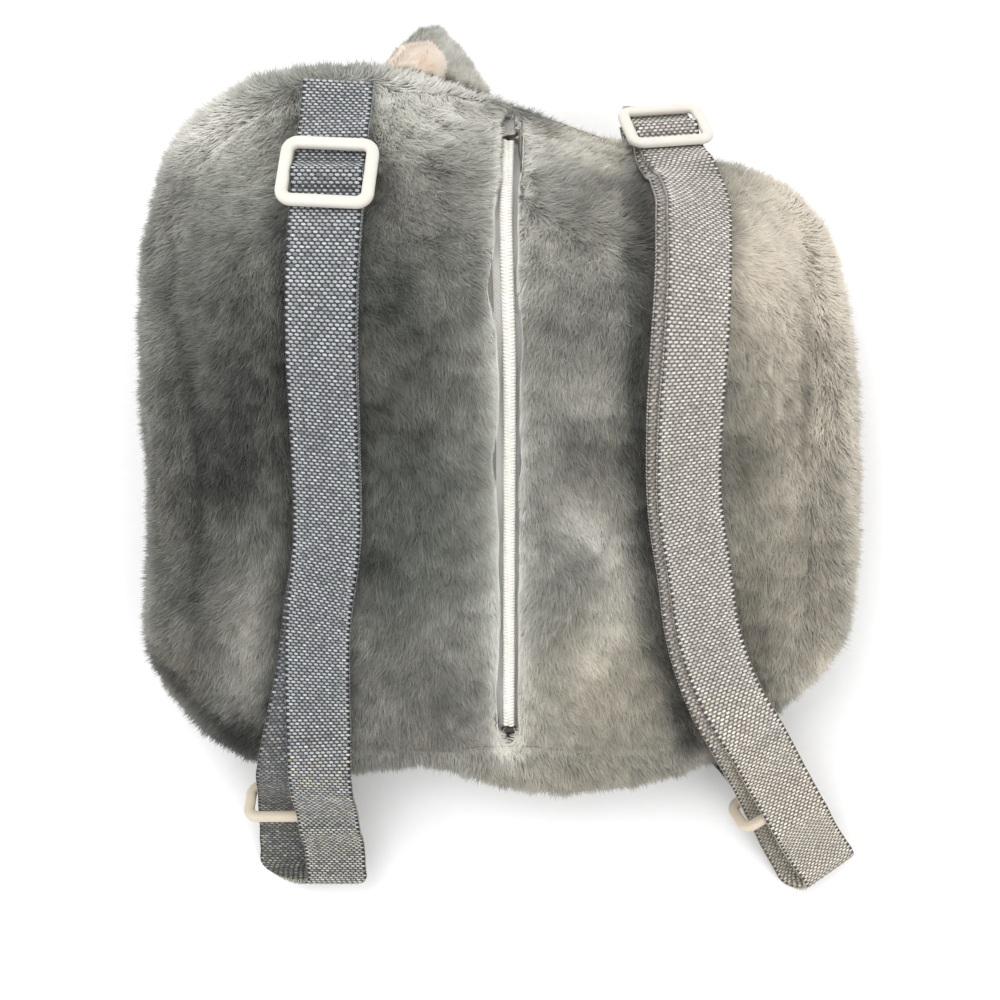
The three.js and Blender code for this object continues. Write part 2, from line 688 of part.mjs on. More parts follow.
// One webbing: anchored at the top seam, through its slide, down to its end fold and back up
// behind itself through the ring to the slide's middle bar.
function strapBody(line) {
  const sections = [];
  for (const place of strapPlaces(line, 0, line.length)) {
    const { point, across, normal } = line.frame(place);
    const middle = point.clone().addScaledVector(normal, line.upperRise(place, point));
    sections.push(webSection(middle, across, normal, webWidth, webThickness));
  }
  const end = line.frame(line.length);
  const upper = line.upperRise(line.length, end.point) + webThickness / 2;
  const lower = webRest + webThickness / 2;
  const radius = (upper - lower) / 2;
  const hub = end.point.clone().addScaledVector(end.normal, lower + radius);
  const foldSteps = 6;
  for (let k = 1; k < foldSteps; k++) {
    const angle = (k / foldSteps) * Math.PI;
    const out = end.normal.clone().multiplyScalar(Math.cos(angle));
    out.addScaledVector(end.heading, Math.sin(angle));
    const shift = line.lowerShift(end.point) * THREE.MathUtils.smoothstep(k / foldSteps, 0, 1);
    const middle = hub.clone().addScaledVector(out, radius - webThickness / 2);
    middle.addScaledVector(end.across, shift);
    sections.push(webSection(middle, end.across, out, webWidth, webThickness));
  }
  for (const place of strapPlaces(line, line.length, line.slidePlace)) {
    const { point, across, normal } = line.frame(place);
    const middle = point.clone().addScaledVector(normal, webRest);
    middle.addScaledVector(across, line.lowerShift(point));
    sections.push(webSection(middle, across, normal, webWidth, webThickness, true));
  }
  return loft(sections);
}

function barFrame(width, length, bar, thickness) {
  const shape = roundedShape(width, length, hardwareCorner);
  shape.holes.push(roundedShape(width - 2 * bar, length - 2 * bar, hardwareCorner - 2));
  const geometry = new THREE.ExtrudeGeometry(shape, {
    depth: thickness - 2 * hardwareBevel, bevelThickness: hardwareBevel, bevelSize: hardwareBevel,
    bevelOffset: -hardwareBevel, bevelSegments: 1, curveSegments: 3,
  });
  return geometry.translate(0, 0, hardwareBevel);
}

// Slide of the strap: a frame whose middle bar lies low, under the webbing.
function slideBody(line, turn) {
  const slot = webWidth + 2 * slideClearance;
  const rest = webRest + webThickness + webLayerGap + webThickness + pieceGap + 0.3;
  const frame = barFrame(slot + 2 * slideBar, slideLength, slideBar, slideThickness);
  const middle = new THREE.BoxGeometry(slot + slideBar, slideMiddleBar, slideMiddleThickness);
  middle.translate(0, 0, 0.6 - slideMiddleThickness / 2);
  const geometry = toGeometry(toSolid(frame).add(toSolid(middle)));
  const { point, heading, across, normal } = line.frame(line.slidePlace);
  const place = new THREE.Matrix4().makeBasis(across, heading.clone().negate(), normal);
  place.setPosition(point.clone().addScaledVector(normal, rest));
  geometry.rotateZ(THREE.MathUtils.degToRad(turn));
  return geometry.applyMatrix4(place);
}

// Where a ring sits round the lower layer of a strap, and its upright frame.
function ringFrame(line, ringTilt) {
  const { point, heading, across, normal, flat } = line.frame(line.ringPlace);
  const forward = new THREE.Vector3(heading.x, heading.y, 0).normalize();
  const tilt = THREE.MathUtils.degToRad(ringTilt);
  const down = forward.clone().multiplyScalar(Math.cos(tilt)).setZ(Math.sin(tilt));
  const centre = point.clone().addScaledVector(normal, webRest + webThickness / 2);
  centre.addScaledVector(across, line.lowerShift(point));
  return { centre, down, flat, facing: flat.clone().cross(down.clone().negate()) };
}

function ringBody(line, ringTilt) {
  const { centre, down, flat, facing } = ringFrame(line, ringTilt);
  const width = webWidth + 2 * (slideClearance + ringBar);
  const geometry = barFrame(width, ringLength, ringBar, ringThickness);
  geometry.translate(0, 0, -ringThickness / 2);
  const place = new THREE.Matrix4().makeBasis(flat, down.clone().negate(), facing);
  return geometry.applyMatrix4(place.setPosition(centre));
}

// Short webbing sewn at the bag's lower corner and looped round the ring's upper bar.
function tabBody(line, ringTilt) {
  const { centre, down, flat } = ringFrame(line, ringTilt);
  const bar = centre.clone().addScaledVector(down, -(ringLength - ringBar) / 2);
  const turn = degrees(bar.x, bar.y);
  const halfTurn = THREE.MathUtils.radToDeg(tabWidth / 2 / Math.hypot(bar.x, bar.y));
  const reaches = [-1, -0.5, 0, 0.5, 1].map((share) => bandReach(turn + share * halfTurn, tabLevel));
  const sewn = polarPoint(turn, Math.max(...reaches) + 2 * pieceGap, tabLevel);
  const outward = polarPoint(turn, 1, 0);
  const sewnAcross = new THREE.Vector3(-outward.y, outward.x, 0);
  const toward = sewn.clone().sub(bar);
  toward.addScaledVector(flat, -toward.dot(flat)).normalize();
  const normal = flat.clone().cross(toward).normalize();
  const loopRadius = Math.hypot(ringBar, ringThickness) / 2 + 2 * pieceGap;
  const pastBar = bar.clone().addScaledVector(toward, ringBar);
  const along = (centre, out) =>
    webSection(centre.clone().addScaledVector(out, loopRadius), flat, out, tabWidth, tabThickness);
  const leg = (side) => {
    const out = new THREE.Vector3(0, 0, side);
    const centre = sewn.clone().addScaledVector(out, pieceGap);
    return webSection(centre, sewnAcross, out, tabWidth, tabThickness);
  };
  const loopSteps = 8;
  const sections = [leg(1), along(pastBar, normal)];
  for (let k = 0; k <= loopSteps; k++) {
    const angle = (k / loopSteps) * Math.PI;
    const out = normal.clone().multiplyScalar(Math.cos(angle));
    sections.push(along(bar, out.addScaledVector(toward, -Math.sin(angle))));
  }
  sections.push(along(pastBar, normal.clone().negate()), leg(-1));
  return loft(sections);
}

// Ear from its root to its tip in equal steps: edges in shares of earWidth, fullness of earThickness.
const earRows = [
  { left: -0.52, right: 0.52, puff: 0.90 },
  { left: -0.53, right: 0.51, puff: 1.00 },
  { left: -0.52, right: 0.48, puff: 1.00 },
  { left: -0.49, right: 0.43, puff: 0.96 },
  { left: -0.42, right: 0.35, puff: 0.88 },
  { left: -0.29, right: 0.25, puff: 0.76 },
  { left: -0.06, right: 0.14, puff: 0.50 },
];
// Lining from low to high in equal steps, edges and fullness likewise.
const liningRows = [
  { left: -0.28, right: -0.02, puff: 0.40 },
  { left: -0.37, right: 0.08, puff: 0.85 },
  { left: -0.38, right: 0.12, puff: 1.00 },
  { left: -0.32, right: 0.12, puff: 0.90 },
  { left: -0.20, right: 0.04, puff: 0.45 },
];
const earPlace = { across: -0.215, along: 0.985, turn: 9 };
const earRoot = -0.35;          // hidden start of the ear, share of earHeight
const liningSpan = { from: 0.20, to: 0.80 };

const softEdge = (u) => 0.16 + 0.84 * Math.sqrt(Math.max(0, 1 - Math.abs(u) ** 2.6));

function earRow(rise, column) {
  const share = (rise - earRoot) / (1 - earRoot);
  return tableValue(earRows, share * (earRows.length - 1), column, false);
}

// Upper face of the ear over its middle plane.
function earFace(across, rise) {
  const [left, right] = [earRow(rise, 'left'), earRow(rise, 'right')];
  const u = THREE.MathUtils.clamp((2 * across - left - right) / (right - left), -1, 1);
  return (earThickness / 2) * earRow(rise, 'puff') * softEdge(u);
}

function earSections(rowCount, from, to, edges, upper, lower) {
  const columnCount = 8;
  const sections = [];
  for (let i = 0; i <= rowCount; i++) {
    const rise = THREE.MathUtils.lerp(from, to, i / rowCount);
    const [left, right] = [edges(i / rowCount, 'left'), edges(i / rowCount, 'right')];
    const top = [];
    const bottom = [];
    for (let j = 0; j <= columnCount; j++) {
      const u = Math.sin((j / columnCount - 0.5) * Math.PI);
      const across = (left + right) / 2 + ((right - left) / 2) * u;
      const place = [across * earWidth, rise * earHeight];
      top.push(new THREE.Vector3(...place, upper(across, rise, u, i / rowCount)));
      bottom.unshift(new THREE.Vector3(...place, lower(across, rise, u, i / rowCount)));
    }
    sections.push([...top, ...bottom]);
  }
  return sections;
}

function placeAtEar(sections) {
  const geometry = loft(sections);
  geometry.rotateZ(THREE.MathUtils.degToRad(earPlace.turn));
  geometry.translate(earPlace.across * halfWidth, earPlace.along * halfHeight, earLevel);
  return toGeometry(toSolid(geometry).subtract(bagEnvelope()));
}

function earBody() {
  const edges = (share, column) => tableValue(earRows, share * (earRows.length - 1), column, false);
  const upper = (across, rise) => earFace(across, rise);
  const lower = (across, rise) => -earFace(across, rise);
  return placeAtEar(earSections(12, earRoot, 1, edges, upper, lower));
}

function earLining() {
  const edges = (share, column) => tableValue(liningRows, share * (liningRows.length - 1), column, false);
  const lower = (across, rise) => earFace(across, rise) + 1.5 * pieceGap;
  const upper = (across, rise, u, share) =>
    lower(across, rise) + liningThickness * edges(share, 'puff') * softEdge(u);
  return placeAtEar(earSections(8, liningSpan.from, liningSpan.to, edges, upper, lower));
}

addPiece('back_panel_left', backPanel(-1), 'plush');
addPiece('back_panel_right', backPanel(1), 'plush');
addPiece('side_band', sideBand(), 'plush');
addPiece('front_panel', frontPanel(), 'plush');

const tape = (from, to) => zipStrip(from, to, tapeDrop, tapeThickness, zipTop, zipBottom);
addPiece('zip_tape_left', tape(-tapeWidth, -pieceGap), 'zip');
addPiece('zip_tape_right', tape(pieceGap, tapeWidth), 'zip');
const coilTop = zipTop - sliderLength - 4 * pieceGap;
const coilBottom = zipBottom + stopLength + pieceGap;
const coil = zipStrip(-coilWidth / 2, coilWidth / 2, coilDrop, coilHeight, coilTop, coilBottom);
addPiece('zip_coil', coil, 'zip');
const sliderPlace = coilTop + sliderLength / 2 + pieceGap;
const slider = zipBlock(sliderPlace, sliderWidth, sliderLength, sliderHeight, tapeDrop - pieceGap);
addPiece('zip_slider', slider, 'metal');
const stopPlace = zipBottom + stopLength / 2;
const stop = zipBlock(stopPlace, coilWidth, stopLength, stopHeight, tapeDrop - pieceGap);
addPiece('zip_bottom_stop', stop, 'metal');

for (const strap of straps) {
  const line = new StrapLine(strap);
  addPiece(`strap_${strap.side}`, strapBody(line), 'webbing');
  addPiece(`slide_${strap.side}`, slideBody(line, strap.slideTurn), 'ivory');
  addPiece(`ring_${strap.side}`, ringBody(line, strap.ringTilt), 'ivory');
  addPiece(`tab_${strap.side}`, tabBody(line, strap.ringTilt), 'tab');
}

addPiece('ear', earBody(), 'plush');
addPiece('ear_lining', earLining(), 'lining');

// The origin is under the middle of the whole part, on the table.
const bounds = new THREE.Box3().setFromObject(backpack);
const middle = bounds.getCenter(new THREE.Vector3());
backpack.position.set(-middle.x, -middle.y, -bounds.min.z);

export default backpack;
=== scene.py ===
import itertools
import math

import bpy
import numpy as np
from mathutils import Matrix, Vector
from mathutils.bvhtree import BVHTree


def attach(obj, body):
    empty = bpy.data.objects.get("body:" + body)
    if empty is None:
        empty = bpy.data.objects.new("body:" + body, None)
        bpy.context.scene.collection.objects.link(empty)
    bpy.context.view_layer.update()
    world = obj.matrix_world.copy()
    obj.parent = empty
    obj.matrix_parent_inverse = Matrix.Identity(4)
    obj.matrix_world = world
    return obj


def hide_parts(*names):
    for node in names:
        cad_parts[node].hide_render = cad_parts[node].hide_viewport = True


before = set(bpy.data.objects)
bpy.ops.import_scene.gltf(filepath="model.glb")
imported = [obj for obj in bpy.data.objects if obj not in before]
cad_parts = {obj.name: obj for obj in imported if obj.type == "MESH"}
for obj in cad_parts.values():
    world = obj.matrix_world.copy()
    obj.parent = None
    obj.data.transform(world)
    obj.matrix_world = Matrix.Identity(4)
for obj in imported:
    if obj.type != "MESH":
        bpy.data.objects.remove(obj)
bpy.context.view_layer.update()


# camera: straight down, as in the photograph
view = {
    "x": -0.00352, "y": -0.00583, "height": 0.480, "clipStart": 0.01,
    "focalPixels": 1100, "imagePixels": 1000, "sensorWidth": 36.0,
}

cameraData = bpy.data.cameras.new("camera")
cameraData.sensor_width = view["sensorWidth"]
cameraData.lens = view["focalPixels"] / view["imagePixels"] * view["sensorWidth"]
cameraData.clip_start = view["clipStart"]
camera = bpy.data.objects.new("camera", cameraData)
camera.location = (view["x"], view["y"], view["height"])
bpy.context.scene.collection.objects.link(camera)
bpy.context.scene.camera = camera


def pixelOf(points):
    # where points of the bag show in the photograph
    reach = view["focalPixels"] / (view["height"] - points[:, 2])
    middle = view["imagePixels"] / 2
    across = middle + (points[:, 0] - view["x"]) * reach
    down = middle - (points[:, 1] - view["y"]) * reach
    return across, down


# shaders

class Wire:
    # an output of a shader node, so that shader maths reads as plain maths
    def __init__(self, finish, socket):
        self.finish = finish
        self.socket = socket

    def maths(self, operation, *values):
        return self.finish.node("ShaderNodeMath", {"operation": operation}, dict(enumerate(values)))

    def __add__(self, other):
        return self.maths("ADD", self, other)

    def __mul__(self, other):
        return self.maths("MULTIPLY", self, other)

    def fraction(self):
        return self.maths("FRACT", self)

    def wave(self):
        return self.maths("SINE", self)


class Finish:
    def __init__(self, name):
        self.material = bpy.data.materials.new(name)
        self.material.use_nodes = True
        self.tree = self.material.node_tree
        self.tree.nodes.clear()

    def node(self, kind, settings=None, inputs=None, output=0):
        made = self.tree.nodes.new(kind)
        for setting, value in (settings or {}).items():
            if setting == "stops":
                self.fillRamp(made.color_ramp, value)
            else:
                setattr(made, setting, value)
        for socket, value in (inputs or {}).items():
            if isinstance(value, Wire):
                self.tree.links.new(value.socket, made.inputs[socket])
            else:
                made.inputs[socket].default_value = value
        return Wire(self, made.outputs[output]) if made.outputs else None

    def fillRamp(self, ramp, stops):
        while len(ramp.elements) < len(stops):
            ramp.elements.new(0.5)
        for element, (place, colour) in zip(ramp.elements, stops):
            element.position = place
            element.color = colour

    def ramp(self, value, stops, interpolation="LINEAR"):
        ramp = self.node("ShaderNodeValToRGB", {"stops": stops}, {0: value})
        ramp.socket.node.color_ramp.interpolation = interpolation
        return ramp

    def mix(self, factor, first, second, blend="MIX"):
        # a mix node's colours go in at sockets 6 and 7, and come out at 2
        return self.node(
            "ShaderNodeMix", {"data_type": "RGBA", "blend_type": blend}, {0: factor, 6: first, 7: second}, 2
        )

    def place(self):
        return self.node("ShaderNodeTexCoord", output="Object")

    def noise(self, size, detail=2.0):
        return self.node(
            "ShaderNodeTexNoise", inputs={"Vector": self.place(), "Scale": 1 / size, "Detail": detail}
        )

    def sheet(self, name):
        # the two coordinates of a piece's own layout
        layout = self.node("ShaderNodeUVMap", {"uv_map": name})
        split = self.node("ShaderNodeSeparateXYZ", inputs={0: layout})
        return split, Wire(self, split.socket.node.outputs[1])

    def bump(self, height, strength, distance):
        inputs = {"Height": height, "Strength": strength, "Distance": distance}
        return self.node("ShaderNodeBump", inputs=inputs)

    def surface(self, inputs):
        shader = self.node("ShaderNodeBsdfPrincipled", inputs=inputs)
        self.node("ShaderNodeOutputMaterial", inputs={"Surface": shader})
        return self.material


def paint(red, green, blue):
    # a colour as it shows on a screen, 0 to 255, turned into light
    values = []
    for part in (red, green, blue):
        part /= 255
        values.append(part / 12.92 if part <= 0.04045 else ((part + 0.055) / 1.055) ** 2.4)
    return (*values, 1.0)


# mesh helpers

# corners in the same hundredth of a millimetre are one
joinGrid = 1e5


def nodeSurface(name):
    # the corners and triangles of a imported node, with its shared corners joined again
    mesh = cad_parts[name].data
    mesh.calc_loop_triangles()
    corners = np.empty(len(mesh.vertices) * 3, dtype=np.float32)
    mesh.vertices.foreach_get("co", corners)
    corners = corners.reshape(-1, 3).astype(float)
    triangles = np.empty(len(mesh.loop_triangles) * 3, dtype=np.int32)
    mesh.loop_triangles.foreach_get("vertices", triangles)
    rounded = np.round(corners * joinGrid).astype(np.int64)
    _, first, joined = np.unique(rounded, axis=0, return_index=True, return_inverse=True)
    return corners[first], joined.reshape(-1)[triangles.reshape(-1, 3)]


def unit(vectors):
    return vectors / np.maximum(np.linalg.norm(vectors, axis=-1, keepdims=True), 1e-12)


def faceNormals(points, triangles):
    first, second, third = (points[triangles[:, corner]] for corner in range(3))
    return np.cross(second - first, third - first) / 2


def cornerNormals(points, triangles):
    normals = np.zeros_like(points)
    across = faceNormals(points, triangles)
    for corner in range(3):
        np.add.at(normals, triangles[:, corner], across)
    return unit(normals)


def addPiece(name, points, faces, finish, replaced=()):
    mesh = bpy.data.meshes.new(name)
    faces = np.asarray(faces, dtype=np.int32)
    count, size = faces.shape
    mesh.vertices.add(len(points))
    mesh.vertices.foreach_set("co", np.ascontiguousarray(points, dtype=np.float32).ravel())
    mesh.loops.add(count * size)
    mesh.loops.foreach_set("vertex_index", faces.ravel())
    mesh.polygons.add(count)
    mesh.polygons.foreach_set("loop_start", np.arange(0, count * size, size, dtype=np.int32))
    mesh.polygons.foreach_set("use_smooth", np.ones(count, dtype=bool))
    mesh.update(calc_edges=True)
    mesh.materials.append(finish)
    piece = bpy.data.objects.new(name, mesh)
    bpy.context.scene.collection.objects.link(piece)
    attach(piece, "root")
    if replaced:
        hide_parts(*replaced)
    return piece


def layOut(piece, name, places):
    # a flat layout of a piece, one place for each corner of each face
    layer = piece.data.uv_layers.new(name=name)
    layer.data.foreach_set("uv", np.ascontiguousarray(places, dtype=np.float32).ravel())


# which side of its lightness, and which end of its colour band, each corner of a face has
faceCorners = {3: ((-1, 0), (1, 0), (0, 1)), 4: ((-1, 0), (1, 0), (1, 1), (-1, 1))}


def layTones(piece, size, tones, bands=0, bandCount=1, reach=0.01, margin=0.1):
    # the layout that the colours read: a face's lightness across, its colour band upward
    layout = np.empty((len(tones), size, 2))
    for corner, (side, end) in enumerate(faceCorners[size]):
        layout[:, corner, 0] = tones + side * reach
        layout[:, corner, 1] = (bands + (1 - margin if end else margin)) / bandCount
    layOut(piece, "OFBake", layout)


def sweep(centres, sides, ups, outline, closed=False):
    # the outline carried along a route, as points and four-sided faces
    places, corners = len(centres), len(outline)
    points = (
        centres[:, None]
        + outline[None, :, 0, None] * sides[:, None]
        + outline[None, :, 1, None] * ups[:, None]
    ).reshape(-1, 3)
    rows = np.arange(places if closed else places - 1)
    row, corner = np.meshgrid(rows, np.arange(corners), indexing="ij")
    nextRow, nextCorner = (row + 1) % places, (corner + 1) % corners
    here, after = row * corners, nextRow * corners
    faces = np.stack([here + corner, here + nextCorner, after + nextCorner, after + corner], axis=-1)
    return points, faces.reshape(-1, 4)


latticePrimes = (374761393, 668265263, 1274126177, 982451653)
latticeRange = 0xFFFFFF
latticeShift = 100.0


def latticeValue(lattice, seed):
    # an even random value from 0 to 1 for each place, the same in every run
    mixed = sum(lattice[:, axis] * latticePrimes[axis] for axis in range(3)) + seed * latticePrimes[3]
    mixed = (mixed ^ (mixed >> 13)) * latticePrimes[2]
    mixed = mixed ^ (mixed >> 16)
    return (mixed & latticeRange) / latticeRange


def smoothNoise(points, size, seed):
    # soft random values from -1 to 1 that change over the given size
    cell = points / size + latticeShift
    base = np.floor(cell).astype(np.int64)
    part = cell - base
    part = part * part * (3 - 2 * part)
    total = np.zeros(len(points))
    for corner in itertools.product((0, 1), repeat=3):
        step = np.array(corner)
        weight = np.prod(np.where(step, part, 1 - part), axis=1)
        total += weight * latticeValue(base + step, seed)
    return total * 2 - 1


def clouds(points, layers):
    # layers of soft noise, each with its size, seed and strength
    return sum(strength * smoothNoise(points, size, seed) for size, seed, strength in layers)


# a strap's section has four corners; of those that follow it, only the first few are tried
sectionCorners, triedCorners = 4, 8


def beyond(links, corners, seen):
    # the corners joined to these ones that haven't been passed yet
    return set().union(*(links[corner] for corner in corners)) - seen


def walkLayers(points, links, start):
    # the sections of a strap, from one end to the other
    layers, seen = [sorted(start)], set(start)
    while True:
        following = beyond(links, layers[-1], seen)
        if len(following) < sectionCorners:
            following |= beyond(links, following, seen)
        if len(following) < sectionCorners:
            return layers
        before = points[layers[-1]]
        before = before - before.mean(axis=0)
        best = None
        for order in itertools.permutations(sorted(following)[:triedCorners], sectionCorners):
            after = points[list(order)]
            apart = np.sum((after - after.mean(axis=0) - before) ** 2)
            if best is None or apart < best[0]:
                best = (apart, list(order))
        layers.append(best[1])
        seen |= set(best[1])


def strapSections(node):
    # a strap's middle line, with its half width and half thickness as vectors at each section
    points, triangles = nodeSurface(node)
    links = [set() for _ in points]
    opposite = {}
    for corners in triangles.tolist():
        for turn in range(3):
            first, second, third = corners[turn], corners[(turn + 1) % 3], corners[(turn + 2) % 3]
            links[first] |= {second, third}
            opposite.setdefault((min(first, second), max(first, second)), []).append(third)
    best = None
    for edge, others in opposite.items():
        start = {*edge, *others}
        seen, layer, strict = set(start), start, len(start) == sectionCorners
        while strict:
            layer = beyond(links, layer, seen)
            strict = len(layer) == sectionCorners
            seen |= layer
        if best is None or len(seen) > best[0]:
            best = (len(seen), start)
    layers = walkLayers(points, links, best[1])
    # the first section's corners go round it, long side first
    near, *others = layers[0]
    others.sort(key=lambda corner: np.linalg.norm(points[corner] - points[near]))
    short, long, far = others
    turn = [layers[0].index(corner) for corner in (near, long, far, short)]
    corners = points[np.array([[layer[place] for place in turn] for layer in layers])]
    centres = corners.mean(axis=1)
    acrosses = (corners[:, 1] + corners[:, 2] - corners[:, 0] - corners[:, 3]) / 4
    ups = (corners[:, 0] + corners[:, 1] - corners[:, 2] - corners[:, 3]) / 4
    return centres, acrosses, ups


# stage and light

stageLook = {
    "floorWidth": 40.0, "skyStrength": 0.95, "lampWidth": 0.9,
    "keyPower": 9.5, "keyPlace": (-0.55, 0.75, 1.25),
    "fillPower": 4.0, "fillPlace": (0.9, -0.5, 1.1),
}

floorFinish = Finish("studio_paper")
floorGrain = floorFinish.noise(0.004)
floorPaint = floorFinish.surface({
    "Base Color": floorFinish.mix(floorGrain, paint(247, 247, 247), paint(252, 252, 252)),
    "Roughness": 0.9,
    "Specular IOR Level": 0.1,
})
half = stageLook["floorWidth"] / 2
floorCorners = [(-half, -half, 0), (half, -half, 0), (half, half, 0), (-half, half, 0)]
floorMesh = bpy.data.meshes.new("studio_floor")
floorMesh.from_pydata(floorCorners, [], [(0, 1, 2, 3)])
floorMesh.materials.append(floorPaint)
floor = bpy.data.objects.new("studio_floor", floorMesh)
bpy.context.scene.collection.objects.link(floor)

sky = bpy.data.worlds.new("studio_sky")
sky.use_nodes = True
skyInputs = sky.node_tree.nodes["Background"].inputs
skyInputs["Color"].default_value = (1, 1, 1, 1)
skyInputs["Strength"].default_value = stageLook["skyStrength"]
bpy.context.scene.world = sky
bpy.context.scene.view_settings.view_transform = "Standard"

for lampName in ("key", "fill"):
    lampData = bpy.data.lights.new(lampName + "_lamp", "AREA")
    lampData.energy = stageLook[lampName + "Power"]
    lampData.size = stageLook["lampWidth"]
    lamp = bpy.data.objects.new(lampName + "_lamp", lampData)
    lamp.location = stageLook[lampName + "Place"]
    lamp.rotation_mode = "QUATERNION"
    lamp.rotation_quaternion = (-Vector(lamp.location)).to_track_quat("-Z", "Y")
    bpy.context.scene.collection.objects.link(lamp)


# the coat's colours

# broad painted light and shade of the coat, with the sheen of its nap, as the photograph shows them, in its
# pixels:
# middle across, middle down, reach across, reach down, lighter or darker (painted light or shade), warmer
coatPatches = {
    "leftPanelShade": (395, 440, 70, 150, -0.15, -0.5),
    "leftPanelHollow": (385, 295, 32, 36, -0.12, -0.4),
    "leftPanelLow": (385, 600, 36, 44, -0.09, -0.3),
    "leftPanelRise": (440, 240, 45, 70, 0.02, 0.0),
    "crown": (425, 104, 74, 50, 0.40, 0.2),
    "leftShoulder": (218, 124, 62, 52, 0.28, 0.5),
    "leftFlank": (190, 470, 62, 190, -0.16, 0.4),
    "besideLeftStrap": (250, 400, 38, 120, -0.17, -0.2),
    "leftLowRise": (248, 640, 28, 60, 0.10, 0.3),
    "leftCorner": (238, 742, 52, 28, -0.27, 1.0),
    "leftFoot": (175, 690, 35, 45, -0.06, 1.0),
    "underSlide": (330, 235, 60, 30, -0.06, 0.0),
    "rightTop": (590, 145, 62, 26, 0.20, 0.4),
    "rightPanelRise": (590, 235, 50, 50, 0.03, 0.2),
    "rightPanelBand": (598, 452, 56, 34, -0.15, 0.1),
    "rightPanelHigh": (560, 310, 40, 30, -0.05, 0.1),
    "rightPanelLow": (590, 690, 62, 75, 0.08, 0.7),
    "rightShoulder": (792, 245, 76, 96, 0.30, 1.4),
    "rightFlank": (800, 430, 60, 150, 0.13, 1.0),
    "besideRightStrap": (752, 455, 30, 40, -0.16, 0.2),
    "rightLowShade": (752, 620, 26, 62, -0.06, 0.6),
    "rightFoot": (812, 640, 30, 60, 0.08, 0.8),
    "topWall": (556, 104, 62, 15, -0.24, -0.6),
    "bottomWall": (540, 782, 90, 14, 0.04, 1.0),
}

# lines along which the coat is painted lighter or darker: painted shade in the seams, a crease and beside
# the straps, painted light along a bent ridge, the rims and the zip's sides; their route in the
# photograph's pixels, reach, lighter or darker
coatLines = {
    "leftSeam": (((165, 285), (188, 350), (198, 430), (200, 560), (200, 645)), 7, -0.09),
    "leftCrease": (((145, 652), (185, 690), (245, 745)), 9, -0.16),
    "rightSeam": (((812, 215), (808, 300), (805, 430), (811, 560), (812, 700)), 7, -0.09),
    "rightStrapShade": (((634, 185), (640, 330), (638, 460), (650, 620), (690, 740)), 15, -0.25),
    "leftStrapShade": (((284, 215), (288, 420), (292, 560), (275, 700)), 15, -0.17),
    "bentRidge": (((575, 520), (608, 545), (622, 585), (612, 630), (588, 655)), 22, 0.19),
    "zipSide": (((508, 130), (503, 300), (506, 460), (508, 740)), 17, 0.40),
    "zipSideWide": (((512, 130), (503, 300), (508, 460), (508, 740)), 36, 0.10),
    "leftRim": (((330, 66), (230, 80), (165, 170), (147, 300), (146, 640)), 10, 0.05),
    "rightRim": (((740, 150), (820, 210), (853, 300), (855, 640), (800, 700)), 12, 0.14),
}

coatBase = {
    "contrast": 1.25, "patchEdge": 1.3, "tone": 0.55, "paintedLightRight": 0.07, "warmth": 0.7, "warmthRight": 1.0,
    "rightFrom": 480, "rightReach": 260, "toneSpeed": 3,
}
# soft unevenness over the whole coat
toneClouds = ((0.026, 11, 0.055), (0.011, 12, 0.05))
warmClouds = ((0.035, 13, 0.5),)


def patchDistance(across, down, patch):
    # how far a pixel is from a patch's middle, squared, 1 at the patch's reach
    middleAcross, middleDown, reachAcross, reachDown = patch
    return ((across - middleAcross) / reachAcross) ** 2 + ((down - middleDown) / reachDown) ** 2


def lineDistance(across, down, route):
    nearest = np.full(len(across), np.inf)
    for (ax, ay), (bx, by) in zip(route, route[1:]):
        length = (bx - ax) ** 2 + (by - ay) ** 2
        along = np.clip(((across - ax) * (bx - ax) + (down - ay) * (by - ay)) / length, 0, 1)
        apart = np.hypot(across - ax - along * (bx - ax), down - ay - along * (by - ay))
        nearest = np.minimum(nearest, apart)
    return nearest


def coatTone(points, mapped):
    # how light and how warm the coat is at each point, with its painted light and shade; mapped is 0 where
    # the photograph doesn't show it
    across, down = pixelOf(points)
    rightward = np.clip((across - coatBase["rightFrom"]) / coatBase["rightReach"], 0, 1)
    # painted light: the coat is lighter toward the right
    tone = coatBase["tone"] + coatBase["paintedLightRight"] * np.clip(rightward * coatBase["toneSpeed"], 0, 1)
    warmth = coatBase["warmth"] + coatBase["warmthRight"] * rightward
    paintedLightAndShade = np.zeros(len(points))
    shownWarmth = np.zeros(len(points))
    for *patch, lighter, warmer in coatPatches.values():
        share = np.exp(-patchDistance(across, down, patch) ** coatBase["patchEdge"])
        paintedLightAndShade += lighter * share
        shownWarmth += warmer * share
    for route, reach, lighter in coatLines.values():
        paintedLightAndShade += lighter * np.exp(-(lineDistance(across, down, route) / reach) ** 2)
    tone += coatBase["contrast"] * paintedLightAndShade * mapped
    warmth += shownWarmth * mapped
    tone += clouds(points, toneClouds)
    warmth += clouds(points, warmClouds)
    return tone, warmth


